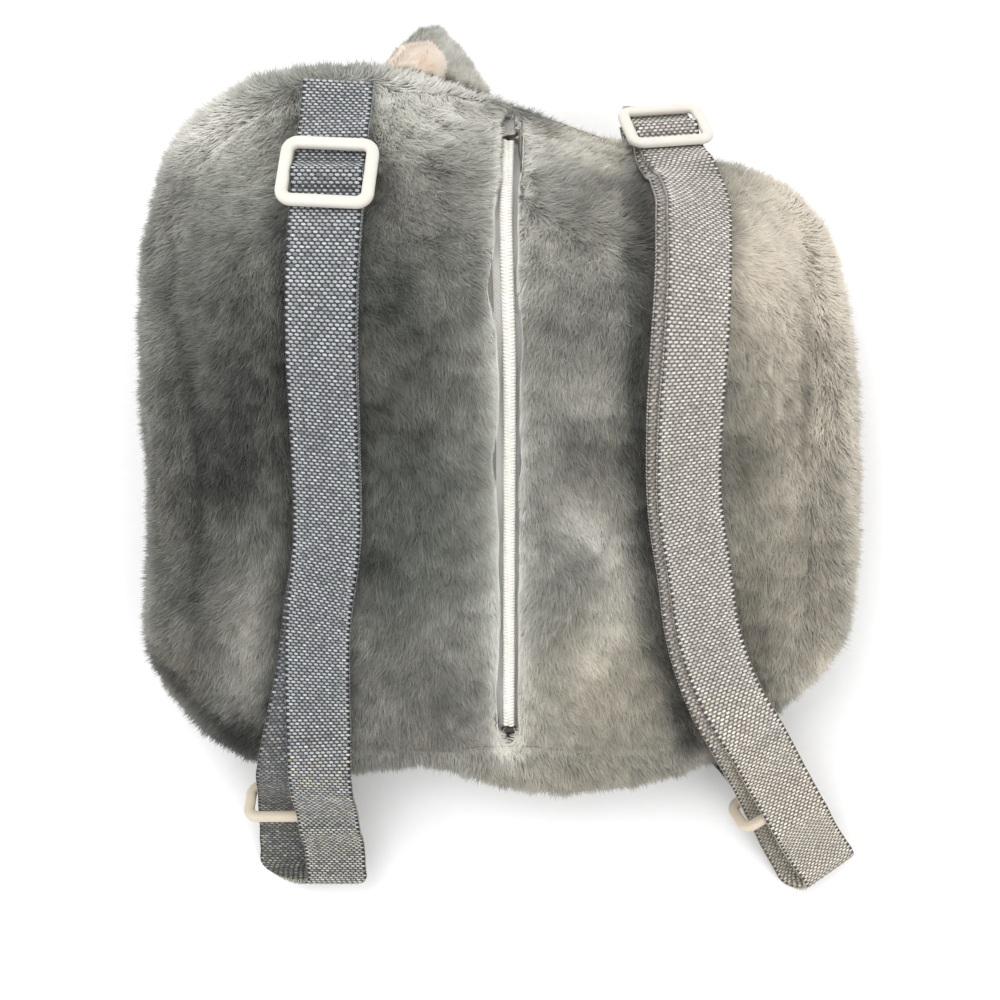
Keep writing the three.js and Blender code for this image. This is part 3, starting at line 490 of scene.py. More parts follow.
# the coat's hairs: lightness runs across their layout, and each of four tints has a band of it
tintBands = 4
coatFinish = Finish("plush_hair")
toneAcross, bandAlong = coatFinish.sheet("OFBake")
toneColour = coatFinish.ramp(toneAcross, [
    (0.0, paint(30, 31, 30)),
    (0.25, paint(74, 75, 73)),
    (0.5, paint(134, 134, 130)),
    (0.75, paint(193, 192, 187)),
    (1.0, paint(250, 249, 246)),
])
tintColour = coatFinish.ramp(bandAlong, [
    (0.0, (0.92, 0.97, 0.90, 1)),
    (0.25, (0.99, 0.98, 0.93, 1)),
    (0.5, (1.00, 0.94, 0.82, 1)),
    (0.75, (1.00, 0.92, 0.80, 1)),
], "CONSTANT")
hairAlong = (bandAlong * tintBands).fraction()
coatColour = coatFinish.mix(1.0, toneColour, tintColour, "MULTIPLY")
rootShade = coatFinish.ramp(hairAlong, [
    (0.0, (0.66, 0.66, 0.66, 1)),
    (0.5, (0.94, 0.94, 0.94, 1)),
    (1.0, (1, 1, 1, 1)),
])
coatPaint = coatFinish.surface({
    "Base Color": coatFinish.mix(1.0, coatColour, rootShade, "MULTIPLY"),
    "Roughness": 0.82,
    "Specular IOR Level": 0.18,
    "Sheen Weight": 0.3,
    "Sheen Roughness": 0.5,
})

liningFinish = Finish("lining_hair")
liningTone, _ = liningFinish.sheet("OFBake")
liningPaint = liningFinish.surface({
    "Base Color": liningFinish.ramp(liningTone, [
        (0.5, paint(214, 188, 162)), (0.85, paint(246, 226, 204)), (1.0, paint(255, 246, 234)),
    ]),
    "Roughness": 0.85,
    "Specular IOR Level": 0.15,
    "Sheen Weight": 0.45,
    "Sheen Roughness": 0.5,
})

skinFinish = Finish("plush_backing")
knit = skinFinish.noise(0.0016)
skinPaint = skinFinish.surface({
    "Base Color": skinFinish.mix(knit, paint(122, 120, 114), paint(152, 149, 142)),
    "Roughness": 0.95,
    "Specular IOR Level": 0.05,
    "Normal": skinFinish.bump(knit, 0.5, 0.0006),
})


# the coat

# hair under the straps and buckles; they lie only far out across the bag and low on it
pressing = {
    "farOut": 0.035, "low": -0.09, "startBelow": 0.001, "search": 0.014, "clearance": 0.0004,
    "rootBelow": 0.0008,
}


def buildHardwareTree():
    allPoints, allTriangles, offset = [], [], 0
    for kind, side in itertools.product(("strap", "slide", "ring", "tab"), ("left", "right")):
        points, triangles = nodeSurface(f"{kind}_{side}")
        allPoints.append(points)
        allTriangles.append(triangles + offset)
        offset += len(points)
    return BVHTree.FromPolygons(np.vstack(allPoints).tolist(), np.vstack(allTriangles).tolist())


hardwareTree = buildHardwareTree()


def pressUnderHardware(spots, roots, tips):
    # hair that a strap or buckle lies on is pressed down under it
    up = Vector((0, 0, 1))
    near = (np.abs(spots[:, 0]) > pressing["farOut"]) | (spots[:, 1] < pressing["low"])
    for index in np.flatnonzero(near):
        start = Vector((tips[index, 0], tips[index, 1], roots[index, 2] - pressing["startBelow"]))
        found = hardwareTree.ray_cast(start, up, pressing["search"])[0]
        if found is not None and found.z - pressing["clearance"] < tips[index, 2]:
            tips[index, 2] = found.z - pressing["clearance"]
            roots[index, 2] = min(roots[index, 2], tips[index, 2] - pressing["rootBelow"])


zipLine = {
    "keepClear": 0.0036, "uneven": ((0.012, 71, 0.0012),), "lowEnd": -0.0965, "highEnd": 0.1285,
    "puff": 0.0020, "puffFrom": 0.095, "puffReach": 0.02,
}
# where more of the tape shows: how far down the photograph, its reach, which side, how much more
zipOpenings = {
    "rightTop": (150, 42, 1, 0.0026),
    "leftUpper": (282, 30, -1, 0.0040),
    "rightMiddle": (325, 30, 1, 0.0014),
    "leftMiddle": (468, 36, -1, 0.0024),
    "leftLow": (690, 34, -1, 0.0018),
}
zipRoute = strapSections("zip_coil")[0]
zipRoute = zipRoute[np.argsort(zipRoute[:, 1])]


def zipAt(along):
    # how far across the middle of the zip is
    return np.interp(along, zipRoute[:, 1], zipRoute[:, 0])


# how far the parting beside the zip reaches, how low it goes, and the layers of the swirls
pileLay = {"partReach": 0.012, "partLowest": 0.03, "swirls": ((0.055, 21, 1.0), (0.023, 22, 0.7))}


def pileDirection(points, normals, coat):
    # the way that the pile lies: down the bag, away from the zip, turned by slow swirls
    lay = np.tile(np.array(coat["lay"], dtype=float), (len(points), 1))
    fromZip = points[:, 0] - zipAt(points[:, 1])
    lay[:, 2] -= coat["fall"] * np.hypot(normals[:, 0], normals[:, 1])
    parting = np.sign(fromZip) * np.exp(-np.abs(fromZip) / pileLay["partReach"])
    lay[:, 0] += coat["partAtZip"] * parting * (points[:, 2] > pileLay["partLowest"])
    lay = unit(lay - normals * np.sum(lay * normals, axis=1, keepdims=True))
    turn = coat["swirl"] * clouds(points, pileLay["swirls"])
    across = np.cross(normals, lay)
    return lay * np.cos(turn)[:, None] + across * np.sin(turn)[:, None]


slopeStep = 0.12


def noiseSlope(points, size, seed):
    # which way soft noise rises, so that tips gather into locks
    here = smoothNoise(points, size, seed)
    step = size * slopeStep
    slope = np.zeros_like(points)
    for axis in range(3):
        moved = points.copy()
        moved[:, axis] += step
        slope[:, axis] = smoothNoise(moved, size, seed) - here
    return slope / slopeStep, here


# where the pile stands fuller: middle across and down in the photograph's pixels, reach, how much
fullerPlaces = {
    "rightShoulderEdge": (806, 196, 62, 52, 0.0030),
    "leftFootEdge": (152, 650, 34, 60, 0.0022),
    "crownEdge": (330, 70, 90, 26, 0.0010),
}


def fullness(points, mapped):
    across, down = pixelOf(points)
    lift = np.zeros(len(points))
    for *patch, more in fullerPlaces.values():
        lift += more * np.exp(-patchDistance(across, down, patch))
    return lift[:, None] * mapped


# different noise for the waves, and for each part's locks and fine spots
waveSeed, lockSeed, fineSeed = 41, 31, 32
overFloor = {"backing": 0.0006, "root": 0.0009, "tip": 0.0003}


def growCoat(name, node, keep, coat, cover):
    # a backing just under the node's own surface, and hairs that grow from it
    draw = np.random.default_rng(coat["seed"])
    points, triangles = nodeSurface(node)
    facing = faceNormals(points, triangles)
    centres = points[triangles].mean(axis=1)
    rounded = keep(centres, unit(facing), coat["roundFrom"])
    grown = keep(centres, unit(facing), coat["growFrom"])
    normals = cornerNormals(points, triangles[rounded])
    points = points + normals * fullness(points, coat["mapped"])
    skin = points - normals * coat["depth"]
    skin[:, 2] = np.maximum(skin[:, 2], overFloor["backing"])
    backing = addPiece(name + "_backing", skin, triangles[rounded], skinPaint, (node,))

    triangles = triangles[grown]
    size = np.linalg.norm(faceNormals(points, triangles), axis=1)
    count = coat["count"]
    chosen = draw.choice(len(triangles), size=count, p=size / size.sum())
    first, second = draw.random(count), draw.random(count)
    swap = first + second > 1
    first[swap], second[swap] = 1 - first[swap], 1 - second[swap]
    weights = np.stack([1 - first - second, first, second], axis=1)[:, :, None]
    spots = (points[triangles[chosen]] * weights).sum(axis=1)
    out = unit((normals[triangles[chosen]] * weights).sum(axis=1))

    lay = pileDirection(spots, out, coat)
    lockSlope, lockHere = noiseSlope(spots, coat["lockSize"], coat["seed"] + lockSeed)
    waveSlope, waveHere = noiseSlope(spots, coat["waveSize"], waveSeed)
    jitter = draw.normal(size=(count, 3))
    lean = coat["lean"] + coat["leanLock"] * lockHere + coat["leanWave"] * waveHere
    lean = lean + coat["leanHair"] * draw.normal(size=count)
    length = 1 + coat["lengthHair"] * draw.normal(size=count) + coat["lengthWave"] * waveHere
    length = coat["length"] * length.clip(*coat["lengthLimits"])
    grow = unit(out * np.cos(lean)[:, None] + lay * np.sin(lean)[:, None] + coat["disorder"] * jitter)
    roots = spots - out * coat["depth"] * coat["rootDepth"]
    tips = roots + grow * length[:, None] + lockSlope * coat["gather"]
    if cover is not None:
        cover(spots, roots, tips)
    if coat["pressed"]:
        pressUnderHardware(spots, roots, tips)
    roots[:, 2] = np.maximum(roots[:, 2], overFloor["root"])
    tips[:, 2] = np.maximum(tips[:, 2], overFloor["tip"])

    along = unit(tips - roots)
    side = unit(np.cross(along, out))
    twist = draw.normal(size=count) * coat["twist"]
    side = side * np.cos(twist)[:, None] + np.cross(along, side) * np.sin(twist)[:, None]
    widths = coat["width"] * (coat["narrowest"] + coat["widthHair"] * draw.random(count))
    side *= widths[:, None] / 2
    # each blade's face looks away from the bag
    facesIn = np.sum(np.cross(2 * side, tips - roots) * out, axis=1) < 0
    side[facesIn] *= -1
    hair = np.stack([roots - side, roots + side, tips], axis=1).reshape(-1, 3)
    piece = addPiece(name, hair, np.arange(count * 3).reshape(-1, 3), coat["paint"])

    tone, warmth = coatTone(spots, coat["mapped"])
    fineHere = smoothNoise(spots, coat["fineSize"], coat["seed"] + fineSeed)
    tone = tone + coat["toneShift"] + coat["toneLock"] * lockHere + coat["toneFine"] * fineHere
    tone = tone + coat["toneHair"] * draw.normal(size=count)
    band = np.floor(warmth + coat["warmShift"] + draw.random(count)).clip(0, tintBands - 1)
    layTones(piece, 3, tone.clip(*coat["toneLimits"]), band, tintBands, reach=0.006, margin=0.03)

    shading = out - coat["shadeWave"] * waveSlope - coat["shadeLock"] * lockSlope
    shading = np.repeat(unit(shading + coat["shadeHair"] * jitter), 3, axis=0)
    piece.data.normals_split_custom_set_from_vertices(shading.astype(np.float32))


# the faces of each solid that carry hair: those that face outward, and the turned edges
bagMiddle = np.array([0.0, 0.016, 0.040])
zipHem = {"reach": 0.012, "tilt": -0.3}
seamLip = {"above": 0.030, "tilt": 0.3}


def backFaces(centres, facing, limit):
    # the upper side, with the hem that turns in beside the zip
    hem = np.abs(centres[:, 0] - zipAt(centres[:, 1])) < zipHem["reach"]
    return (facing[:, 2] > limit) | (hem & (facing[:, 2] > zipHem["tilt"]))


def frontFaces(centres, facing, limit):
    return facing[:, 2] < -limit


def outerFaces(centres, facing, limit):
    # the outside of the side wall, with its upper edge along the back's seam
    lip = (facing[:, 2] > seamLip["tilt"]) & (centres[:, 2] > seamLip["above"])
    return (np.sum(unit(centres - bagMiddle) * facing, axis=1) > limit) | lip


def earFaces(centres, facing, limit):
    # every face, since the limit is below any slope
    return facing[:, 2] > limit


def clearZip(spots, roots, tips):
    # the pile stops at the coil, and puffs over it at the top of the left half
    middle = zipAt(spots[:, 1])
    side = np.sign(spots[:, 0] - middle)
    upward = np.clip((spots[:, 1] - zipLine["puffFrom"]) / zipLine["puffReach"], 0, 1)
    limit = zipLine["keepClear"] + clouds(spots, zipLine["uneven"]) - upward * (side < 0) * zipLine["puff"]
    down = pixelOf(spots)[1]
    for level, reach, openSide, more in zipOpenings.values():
        limit = limit + (side == openSide) * more * np.exp(-((down - level) / reach) ** 2)
    within = (spots[:, 1] > zipLine["lowEnd"]) & (spots[:, 1] < zipLine["highEnd"])
    for ends in (roots, tips):
        crossed = within & ((ends[:, 0] - middle) * side < limit)
        ends[:, 0] = np.where(crossed, middle + side * limit, ends[:, 0])


coatCommon = {
    "count": 188000, "length": 0.0043, "width": 0.00035, "depth": 0.0011, "lean": 1.12, "disorder": 0.27,
    "lay": (0, -1, -0.25), "partAtZip": -0.45, "swirl": 0.75, "lockSize": 0.0046, "waveSize": 0.017,
    "gather": 0.0007, "fall": 2.4, "roundFrom": 0.12, "growFrom": 0.12, "mapped": 1.0, "toneShift": 0.0,
    "warmShift": 0.0, "pressed": True, "padding": 0, "paint": coatPaint, "slot": "plush",
    # how hairs, locks and waves differ in lean, length, width, twist, lightness and shading
    "leanLock": 0.16, "leanWave": 0.14, "leanHair": 0.10, "lengthHair": 0.16, "lengthWave": 0.12,
    "lengthLimits": (0.5, 1.5), "rootDepth": 0.92, "twist": 0.3, "narrowest": 0.75, "widthHair": 0.5,
    "toneLock": 0.055, "toneFine": 0.055, "fineSize": 0.0026, "toneHair": 0.05, "toneLimits": (0.03, 0.97),
    "shadeWave": 0.10, "shadeLock": 0.05, "shadeHair": 0.10,
}
# the front and the ear lie away from the zip, the straps and the photograph's places of painted light and
# shade
coatApart = {"partAtZip": 0.0, "mapped": 0.0, "pressed": False}
coatEar = {**coatApart, "roundFrom": -2.0, "growFrom": -2.0, "lockSize": 0.003}
coatParts = {
    "back_left_plush": ("back_panel_left", backFaces, {"seed": 3}, clearZip),
    "back_right_plush": ("back_panel_right", backFaces, {"seed": 4}, clearZip),
    "side_plush": ("side_band", outerFaces, {
        "seed": 5, "count": 197000, "roundFrom": 0.1, "growFrom": 0.2, "width": 0.00041, "partAtZip": 0.0,
        "lay": (0, -0.8, -0.4), "length": 0.0042, "depth": 0.0022, "disorder": 0.2,
    }, None),
    "front_plush": ("front_panel", frontFaces, {
        **coatApart, "seed": 6, "count": 90000, "width": 0.00055, "depth": 0.0, "length": 0.0058,
        "lean": 1.25, "roundFrom": 0.2, "growFrom": 0.2,
    }, None),
    "ear_plush": ("ear", earFaces, {
        **coatEar, "seed": 7, "count": 32000, "width": 0.00034, "depth": 0.0016, "length": 0.0038,
        "lean": 1.15, "fall": 0.6, "lay": (0.2, 1, 0.1), "toneShift": 0.27, "warmShift": 0.3,
        "gather": 0.0004, "padding": 0.7,
    }, None),
    "ear_lining_plush": ("ear_lining", earFaces, {
        **coatEar, "seed": 8, "count": 15000, "width": 0.00032, "depth": 0.0009, "length": 0.0026,
        "lean": 1.1, "fall": 0.3, "lay": (0.1, 1, 0.1), "toneShift": 0.43, "warmShift": 3.0,
        "gather": 0.0002, "padding": 0.5, "paint": liningPaint, "slot": "lining",
    }, None),
}

for partName, (node, keep, changes, cover) in coatParts.items():
    growCoat(partName, node, keep, {**coatCommon, **changes}, cover)


# webbing and tape

def smoothAlong(values, stations, wanted):
    # values between stations, on a smooth curve through them
    slopes = np.gradient(values, stations, axis=0)
    place = np.clip(np.searchsorted(stations, wanted, side="right") - 1, 0, len(stations) - 2)
    gap = (stations[place + 1] - stations[place])[:, None]
    part = ((wanted - stations[place]) / gap[:, 0])[:, None]
    square, cube = part ** 2, part ** 3
    return (
        (2 * cube - 3 * square + 1) * values[place]
        + (cube - 2 * square + part) * gap * slopes[place]
        + (3 * square - 2 * cube) * values[place + 1]
        + (cube - square) * gap * slopes[place + 1]
    )


class Strip:
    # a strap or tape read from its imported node: a route with its width and thickness
    def __init__(self, node):
        centres, acrosses, ups = strapSections(node)
        steps = np.linalg.norm(np.diff(centres, axis=0), axis=1)
        self.stations = np.concatenate([[0], np.cumsum(steps)])
        self.length = self.stations[-1]
        self.centres, self.acrosses, self.ups = centres, acrosses, ups

    def at(self, wanted):
        parts = (self.centres, self.acrosses, self.ups)
        return [smoothAlong(values, self.stations, wanted) for values in parts]


millimetres = 1000


def ribbonOutline(columns, flatness):
    # a flat band with softened edges, half width and half thickness 1
    places = np.linspace(-1, 1, columns)
    top = np.stack([places, (1 - np.abs(places) ** flatness) ** (1 / 3)], axis=1)
    return np.vstack([top, top[-2:0:-1] * (1, -1)])


def layRibbon(name, strip, finish, replaced, step, outline):
    # the cloth of a strip, with one layout for its colours and one in millimetres for its weave
    stations = np.linspace(0, strip.length, int(strip.length / step) + 1)
    centres, acrosses, ups = strip.at(stations)
    shrink = np.ones(len(stations))
    shrink[[0, -1]] = 0.0
    points, faces = sweep(centres, acrosses, ups * shrink[:, None], outline)
    piece = addPiece(name, points, faces, finish, replaced)
    corners, rows = len(outline), len(stations)
    row, column = np.meshgrid(np.arange(rows - 1), np.arange(corners), indexing="ij")
    row, column = row.ravel(), column.ravel()
    wide = np.stack([column, column + 1, column + 1, column], axis=1)
    tall = np.stack([row, row, row + 1, row + 1], axis=1)
    layOut(piece, "OFBake", np.stack([wide / corners, tall / (rows - 1)], axis=-1))
    lateral = outline[:, 0] * np.linalg.norm(acrosses[0]) * millimetres
    layOut(piece, "weave", np.stack([lateral[wide % corners], stations[tall] * millimetres], axis=-1))


def grainShape(corners, length, width, height):
    # a low rounded yarn, as a fan: a ring of corners and a top
    angles = np.arange(corners) * 2 * math.pi / corners
    ring = np.stack([np.cos(angles) * length / 2, np.sin(angles) * width / 2, np.zeros(corners)], axis=1)
    return np.vstack([ring, [[0, 0, height]]])


def layGrains(name, places, sides, alongs, ups, shape, tones, warm, finish):
    # one yarn at each place; tones is each one's lightness, and warm is 1 for one in the warm colour
    corners = len(shape) - 1
    points = (
        places[:, None] + shape[None, :, 0, None] * sides[:, None]
        + shape[None, :, 1, None] * alongs[:, None] + shape[None, :, 2, None] * ups[:, None]
    ).reshape(-1, 3)
    fan = np.array([[place, (place + 1) % corners, corners] for place in range(corners)])
    faces = (np.arange(len(places))[:, None, None] * len(shape) + fan[None]).reshape(-1, 3)
    piece = addPiece(name, points, faces, finish)
    layTones(piece, 3, np.repeat(tones, corners), np.repeat(warm, corners), bandCount=2)


# grain is a yarn's corners, length, width and height; outline is the ribbon's columns and flatness
webbing = {
    "yarnsAcross": 11, "rowPitch": 0.00128, "grain": (6, 0.00186, 0.00110, 0.00034), "slant": 0.22,
    "outline": (13, 10), "step": 0.0026, "stagger": 0.25, "spread": 0.955, "scatter": 0.004,
    "faceRise": 0.97, "edgeReach": 0.985, "tone": 0.62, "toneScatter": 0.16, "edgeTone": 0.45,
    "edgeToneScatter": 0.15, "shade": 0.42, "warmReach": 0.06,
}
threadTones = (0.05, 0.95)
# the waves of the ground cloth, in millimetres and radians
groundWaves = {
    "rowSlant": 0.9, "rowHeight": 0.5, "columnPitch": 2.25, "columnSlant": 0.6, "columnHeight": 0.35,
}


def webbingGround(name, dark, light, ivory):
    # the grey ground between the white yarns, with its fine rows
    finish = Finish(name)
    across, along = finish.sheet("weave")
    rowTurn = math.pi / (webbing["rowPitch"] * millimetres)
    columnTurn = 2 * math.pi / groundWaves["columnPitch"]
    rows = (along * rowTurn + across * groundWaves["rowSlant"]).wave()
    columns = (across * columnTurn + along * groundWaves["columnSlant"]).wave()
    height = rows * groundWaves["rowHeight"] + columns * groundWaves["columnHeight"]
    wear = finish.noise(0.012)
    colour = finish.mix(height * 0.5 + 0.5, dark, light)
    return finish.surface({
        "Base Color": finish.mix(wear * 0.35, colour, ivory),
        "Roughness": 0.62,
        "Specular IOR Level": 0.3,
        "Sheen Weight": 0.1,
        "Normal": finish.bump(height, 0.8, 0.0004),
    })


def yarnFinish(name, coolDark, coolLight, warmDark, warmLight):
    # yarns from dark to light, in a cool colour or, in the layout's upper band, in a warm one,
    # and darker toward the foot
    finish = Finish(name)
    tone, band = finish.sheet("OFBake")
    coolColour = finish.ramp(tone, [(0.0, coolDark), (1.0, coolLight)])
    warmColour = finish.ramp(tone, [(0.0, warmDark), (1.0, warmLight)])
    isWarm = finish.node("ShaderNodeMath", {"operation": "GREATER_THAN"}, {0: band, 1: 0.5})
    colour = finish.mix(isWarm, coolColour, warmColour)
    return finish.surface({
        "Base Color": finish.mix((band * 2).fraction() * 0.25 + 0.75, paint(110, 111, 112), colour),
        "Roughness": 0.5,
        "Specular IOR Level": 0.35,
        "Sheen Weight": 0.1,
    })


# the ground's dark, light and worn colours, then the yarns' cool dark and light, and warm dark and light
# the two straps are the same webbing: the left one's colours are painted shade, the right one's painted
# light
webColours = {
    "left_webbing": (
        (30, 33, 36), (74, 77, 81), (96, 98, 100),
        (86, 89, 91), (210, 213, 215), (92, 90, 80), (226, 221, 206),
    ),
    "right_webbing": (
        (62, 58, 56), (132, 125, 119), (156, 148, 138),
        (150, 145, 138), (238, 233, 225), (176, 167, 148), (255, 248, 232),
    ),
    "tab": (
        (17, 17, 18), (42, 42, 44), (52, 50, 48),
        (38, 38, 39), (120, 118, 114), (38, 38, 39), (120, 118, 114),
    ),
}
webPaints = {}
for webName, colours in webColours.items():
    dark, light, worn, *yarns = (paint(*colour) for colour in colours)
    webPaints[webName] = (
        webbingGround(webName + "_ground", dark, light, worn),
        yarnFinish(webName + "_yarn", *yarns),
    )


def weaveStrap(name, node, web, seed, warmBelow):
    # a strap's ground cloth, with staggered light yarns over both its faces and its edges
    ground, yarn = webPaints[web]
    strip = Strip(node)
    draw = np.random.default_rng(seed)
    outline = ribbonOutline(*webbing["outline"])
    layRibbon(name, strip, ground, (node,), webbing["step"], outline)
    rowCount = int(strip.length / webbing["rowPitch"])
    rows = (np.arange(rowCount) + 0.5) * strip.length / rowCount
    centres, acrosses, ups = strip.at(rows)
    alongs = unit(np.gradient(centres, axis=0))
    yarns = webbing["yarnsAcross"]
    # the lower layer, past the fold, gets painted shade
    fold = np.argmin(centres[:, 1])
    before = np.arange(rowCount) < fold
    shaded = before if centres[:fold + 1, 2].mean() < centres[fold:, 2].mean() else ~before
    stagger = webbing["stagger"] * ((np.arange(rowCount) % 2) * 2 - 1)
    places, sides, ways, outs, tones = [], [], [], [], []
    for face in (1, -1):
        for column in range(yarns):
            lateral = (column + 0.5 + stagger) / yarns * 2 - 1
            lateral = lateral * webbing["spread"] + draw.normal(size=rowCount) * webbing["scatter"]
            places.append(centres + acrosses * lateral[:, None] + ups * face * webbing["faceRise"])
            sides.append(unit(acrosses))
            ways.append(alongs * face)
            outs.append(unit(ups) * face)
            scatter = webbing["toneScatter"] * draw.normal(size=rowCount)
            tones.append(webbing["tone"] - webbing["shade"] * shaded + scatter)
    for edge in (1, -1):
        # the bound edges: short yarns over the rim
        places.append(centres + acrosses * edge * webbing["edgeReach"])
        sides.append(unit(ups))
        ways.append(alongs * -edge)
        outs.append(unit(acrosses) * edge)
        tones.append(webbing["edgeTone"] + webbing["edgeToneScatter"] * draw.normal(size=rowCount))
    places, sides, ways, outs = (np.vstack(values) for values in (places, sides, ways, outs))
    ways = unit(ways + webbing["slant"] * sides)
    shape = grainShape(*webbing["grain"])
    tones = np.concatenate(tones).clip(*threadTones)
    warm = draw.random(len(places)) < (warmBelow - places[:, 1]) / webbing["warmReach"]
    layGrains(name + "_yarns", places, sides, ways, outs, shape, tones, warm.astype(float), yarn)


weaveStrap("left_strap_web", "strap_left", "left_webbing", 51, -0.085)
weaveStrap("right_strap_web", "strap_right", "right_webbing", 52, -0.06)
weaveStrap("left_tab_web", "tab_left", "tab", 53, -1.0)
weaveStrap("right_tab_web", "tab_right", "tab", 54, -1.0)


# zip

tooth = {
    "pitch": 0.00125, "rowOffset": 0.00115, "length": 0.0023, "width": 0.00098, "height": 0.0016,
    "rise": 0.0005, "rings": 5, "corners": 8, "taper": 0.96, "bluntness": 0.8, "droop": 0.0003,
    "tone": 0.6, "toneScatter": 0.15, "slant": 0.30, "stagger": 0.25,
}
# the tape's cloth and the narrower core under the teeth, each with its step and its outline
tape = {
    "step": 0.004, "outline": (7, 8), "turn": 5.2,
    "coreStep": 0.006, "coreOutline": (7, 6), "coreWidth": 0.8, "coreThickness": 0.3,
}

tapeFinish = Finish("zip_tape_weave")
tapeAcross, tapeAlong = tapeFinish.sheet("weave")
tapeTwill = (tapeAlong * tape["turn"] + tapeAcross * tape["turn"]).wave()
tapePaint = tapeFinish.surface({
    "Base Color": tapeFinish.mix(tapeTwill * 0.5 + 0.5, paint(238, 236, 229), paint(253, 252, 248)),
    "Roughness": 0.8,
    "Sheen Weight": 0.15,
    "Normal": tapeFinish.bump(tapeTwill, 0.5, 0.00025),
})
for side in ("left", "right"):
    layRibbon(
        f"zip_tape_{side}_cloth", Strip(f"zip_tape_{side}"), tapePaint, (f"zip_tape_{side}",),
        tape["step"], ribbonOutline(*tape["outline"]),
    )

coilFinish = Finish("zip_coil_nylon")
coilTone, _ = coilFinish.sheet("OFBake")
coilPaint = coilFinish.surface({
    "Base Color": coilFinish.ramp(coilTone, [(0.0, paint(228, 224, 213)), (1.0, paint(255, 253, 248))]),
    "Roughness": 0.38,
    "Specular IOR Level": 0.45,
    "Subsurface Weight": 0.1,
    "Subsurface Scale": 0.001,
})


def buildCoil():
    # two rows of slanted teeth that meet along the middle, over a woven core
    strip = Strip("zip_coil")
    draw = np.random.default_rng(61)
    count = int(strip.length / tooth["pitch"])
    bend = np.linspace(-1, 1, tooth["rings"])
    taper = np.sqrt(1 - (bend * tooth["taper"]) ** 2) ** tooth["bluntness"]
    spin = np.arange(tooth["corners"]) * 2 * math.pi / tooth["corners"]
    outline = np.stack([np.cos(spin) * tooth["width"], np.sin(spin) * tooth["height"]], axis=1) / 2
    allPoints, allFaces, allTones, offset = [], [], [], 0
    for row in (-1, 1):
        stations = (np.arange(count) + 0.5 - row * tooth["stagger"]) * strip.length / count
        centres, acrosses, ups = strip.at(stations)
        side, up = unit(acrosses), unit(ups)
        up = up * np.sign(up[:, 2:3])
        along = unit(np.gradient(centres, axis=0))
        way = unit(side + tooth["slant"] * row * along)
        thick = unit(np.cross(up, way))
        middles = centres + side * row * tooth["rowOffset"] + up * tooth["rise"]
        for place in range(count):
            ridge = middles[place] + np.outer(bend * tooth["length"] / 2, way[place])
            ridge -= np.outer(bend ** 2 * tooth["droop"], up[place])
            points, faces = sweep(ridge, taper[:, None] * thick[place], taper[:, None] * up[place], outline)
            allPoints.append(points)
            allFaces.append(faces + offset)
            tone = tooth["tone"] + tooth["toneScatter"] * draw.normal()
            allTones.append(np.full(len(faces), tone))
            offset += len(points)
    teeth = addPiece(
        "zip_coil_teeth", np.vstack(allPoints), np.vstack(allFaces), coilPaint, ("zip_coil",),
    )
    layTones(teeth, 4, np.concatenate(allTones).clip(*threadTones))
    strip.acrosses = strip.acrosses * tape["coreWidth"]
    strip.ups = strip.ups * tape["coreThickness"]
    outline = ribbonOutline(*tape["coreOutline"])
    layRibbon("zip_coil_core", strip, tapePaint, (), tape["coreStep"], outline)


buildCoil()

metalFinish = Finish("zip_metal")
metalScratch = metalFinish.noise(0.0009, 4.0)
metalPaint = metalFinish.surface({
    "Base Color": metalFinish.mix(metalScratch, paint(122, 118, 113), paint(206, 202, 196)),
    "Metallic": 1.0,
    "Roughness": metalScratch * 0.25 + 0.22,
    "Normal": metalFinish.bump(metalScratch, 0.2, 0.0002),
})
stopFinish = Finish("zip_stop_metal")
stopScratch = stopFinish.noise(0.0012, 3.0)
stopPaint = stopFinish.surface({
    "Base Color": stopFinish.mix(stopScratch, paint(44, 40, 38), paint(98, 92, 88)),
    "Metallic": 0.9,
    "Roughness": stopScratch * 0.2 + 0.35,
})


def paintNode(node, finish):
    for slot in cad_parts[node].material_slots:
        slot.material = finish


paintNode("zip_slider", metalPaint)
paintNode("zip_bottom_stop", stopPaint)


# slides and rings

buckle = {
    "rail": 0.0044, "railFrom": 0.6, "aroundRail": 20, "squareness": 2.6,
    "corner": 0.0060, "cornerMost": 0.9, "aroundCorner": 12, "turnStep": 0.5,
}


def ivoryPlastic(name, dark, light):
    # smooth moulded plastic, a little cloudy and finely worn
    finish = Finish(name)
    cloud = finish.noise(0.006)
    fine = finish.noise(0.0007, 3.0)
    return finish.surface({
        "Base Color": finish.mix(cloud, dark, light),
        "Roughness": fine * 0.14 + 0.34,
        "Specular IOR Level": 0.45,
        "Coat Weight": 0.12,
        "Subsurface Weight": 0.15,
        "Subsurface Scale": 0.002,
        "Normal": finish.bump(fine, 0.12, 0.0002),
    })


slidePaint = ivoryPlastic("slide_ivory", paint(214, 210, 199), paint(226, 223, 214))
ringPaint = ivoryPlastic("ring_ivory", paint(204, 192, 170), paint(220, 209, 189))


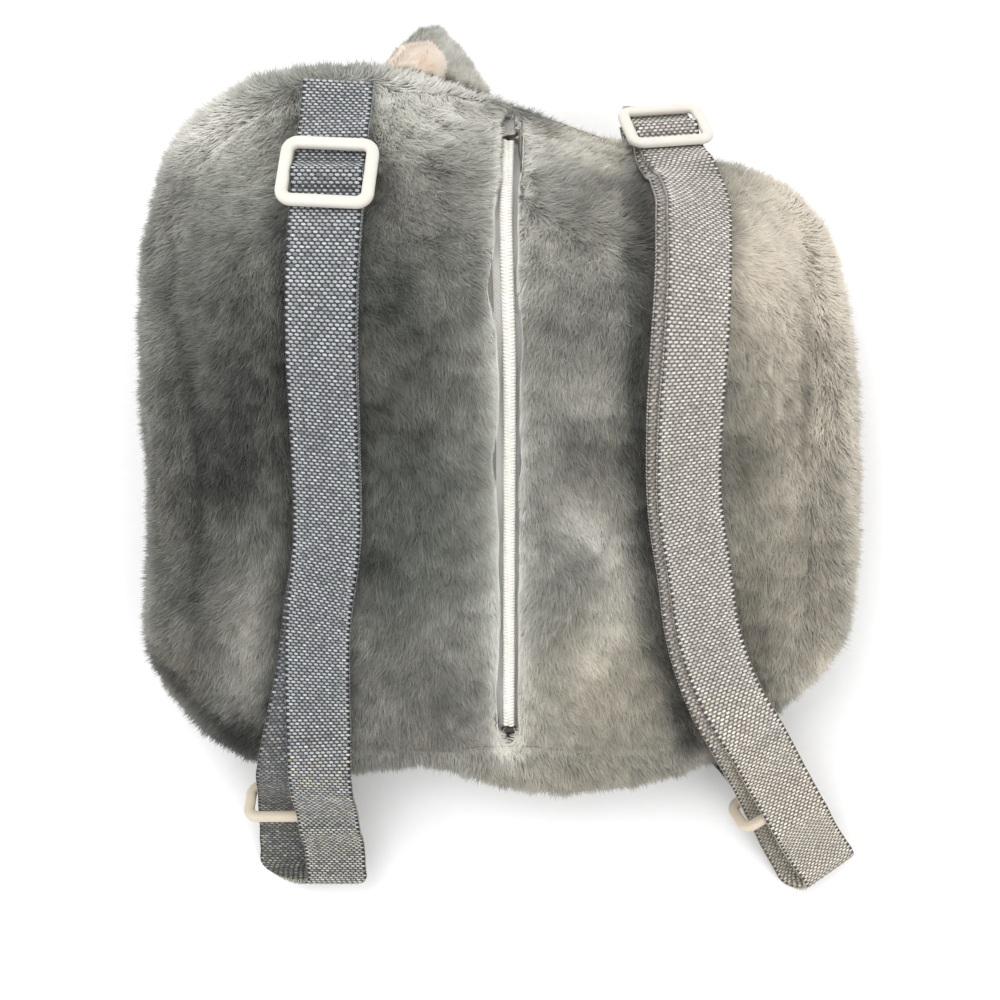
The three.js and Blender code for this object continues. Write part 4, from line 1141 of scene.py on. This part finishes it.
def frameFit(node):
    # the plane, long side and size of a buckle's frame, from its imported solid
    points, _ = nodeSurface(node)
    middle = points.mean(axis=0)
    _, directions = np.linalg.eigh(np.cov((points - middle).T))
    normal, first = directions[:, 0], directions[:, 2]
    normal = normal * np.sign(normal[2])
    second = np.cross(normal, first)
    best = None
    for degree in np.arange(0, 90, buckle["turnStep"]):
        turn = math.radians(degree)
        one = first * math.cos(turn) + second * math.sin(turn)
        two = np.cross(normal, one)
        spans = [np.ptp((points - middle) @ axis) for axis in (one, two)]
        if best is None or spans[0] * spans[1] < best[0]:
            best = (spans[0] * spans[1], one, two, spans)
    _, long, wide, spans = best
    if spans[0] < spans[1]:
        long, wide = wide, -long
    axes = (long, wide, normal)
    reach = [(points - middle) @ axis for axis in axes]
    halves = [np.ptp(values) / 2 for values in reach]
    middle = middle + sum((values.max() + values.min()) / 2 * axis for values, axis in zip(reach, axes))
    inside = np.stack([(points - middle) @ axis for axis in axes], axis=1)
    return middle, axes, halves, inside


def railOutline(corners, squareness):
    # between a circle and a square
    angles = np.arange(corners) * 2 * math.pi / corners
    cosines, sines = np.cos(angles), np.sin(angles)
    return np.stack([
        np.sign(cosines) * np.abs(cosines) ** (2 / squareness),
        np.sign(sines) * np.abs(sines) ** (2 / squareness),
    ], axis=1)


def mouldBuckle(name, node, finish):
    # a rounded frame in the place of a buckle's solid
    middle, (long, wide, normal), halves, inside = frameFit(node)
    rail = buckle["rail"] / 2
    halfLong, halfWide = halves[0] - rail, halves[1] - rail
    corner = min(buckle["corner"] - rail, halfWide * buckle["cornerMost"])
    flat, outward = [], []
    for quarter, (signLong, signWide) in enumerate(((1, 1), (-1, 1), (-1, -1), (1, -1))):
        for step in range(buckle["aroundCorner"] + 1):
            angle = (quarter + step / buckle["aroundCorner"]) * math.pi / 2
            outward.append((math.cos(angle), math.sin(angle)))
            flat.append((
                signLong * (halfLong - corner) + corner * math.cos(angle),
                signWide * (halfWide - corner) + corner * math.sin(angle),
            ))
    flat, outward = np.array(flat), np.array(outward)
    heights = inside[np.abs(inside[:, 1]) > halves[1] * buckle["railFrom"], 2]
    lift, thick = (heights.max() + heights.min()) / 2, (heights.max() - heights.min()) / 2
    outline = railOutline(buckle["aroundRail"], buckle["squareness"])
    centres = middle + flat[:, :1] * long + flat[:, 1:] * wide + lift * normal
    sides = (outward[:, :1] * long + outward[:, 1:] * wide) * rail
    points, faces = sweep(centres, sides, np.tile(normal * thick, (len(flat), 1)), outline, closed=True)
    addPiece(name, points, faces, finish, (node,))


for kind, finish in (("slide", slidePaint), ("ring", ringPaint)):
    for side in ("left", "right"):
        mouldBuckle(f"{side}_{kind}_frame", f"{kind}_{side}", finish)
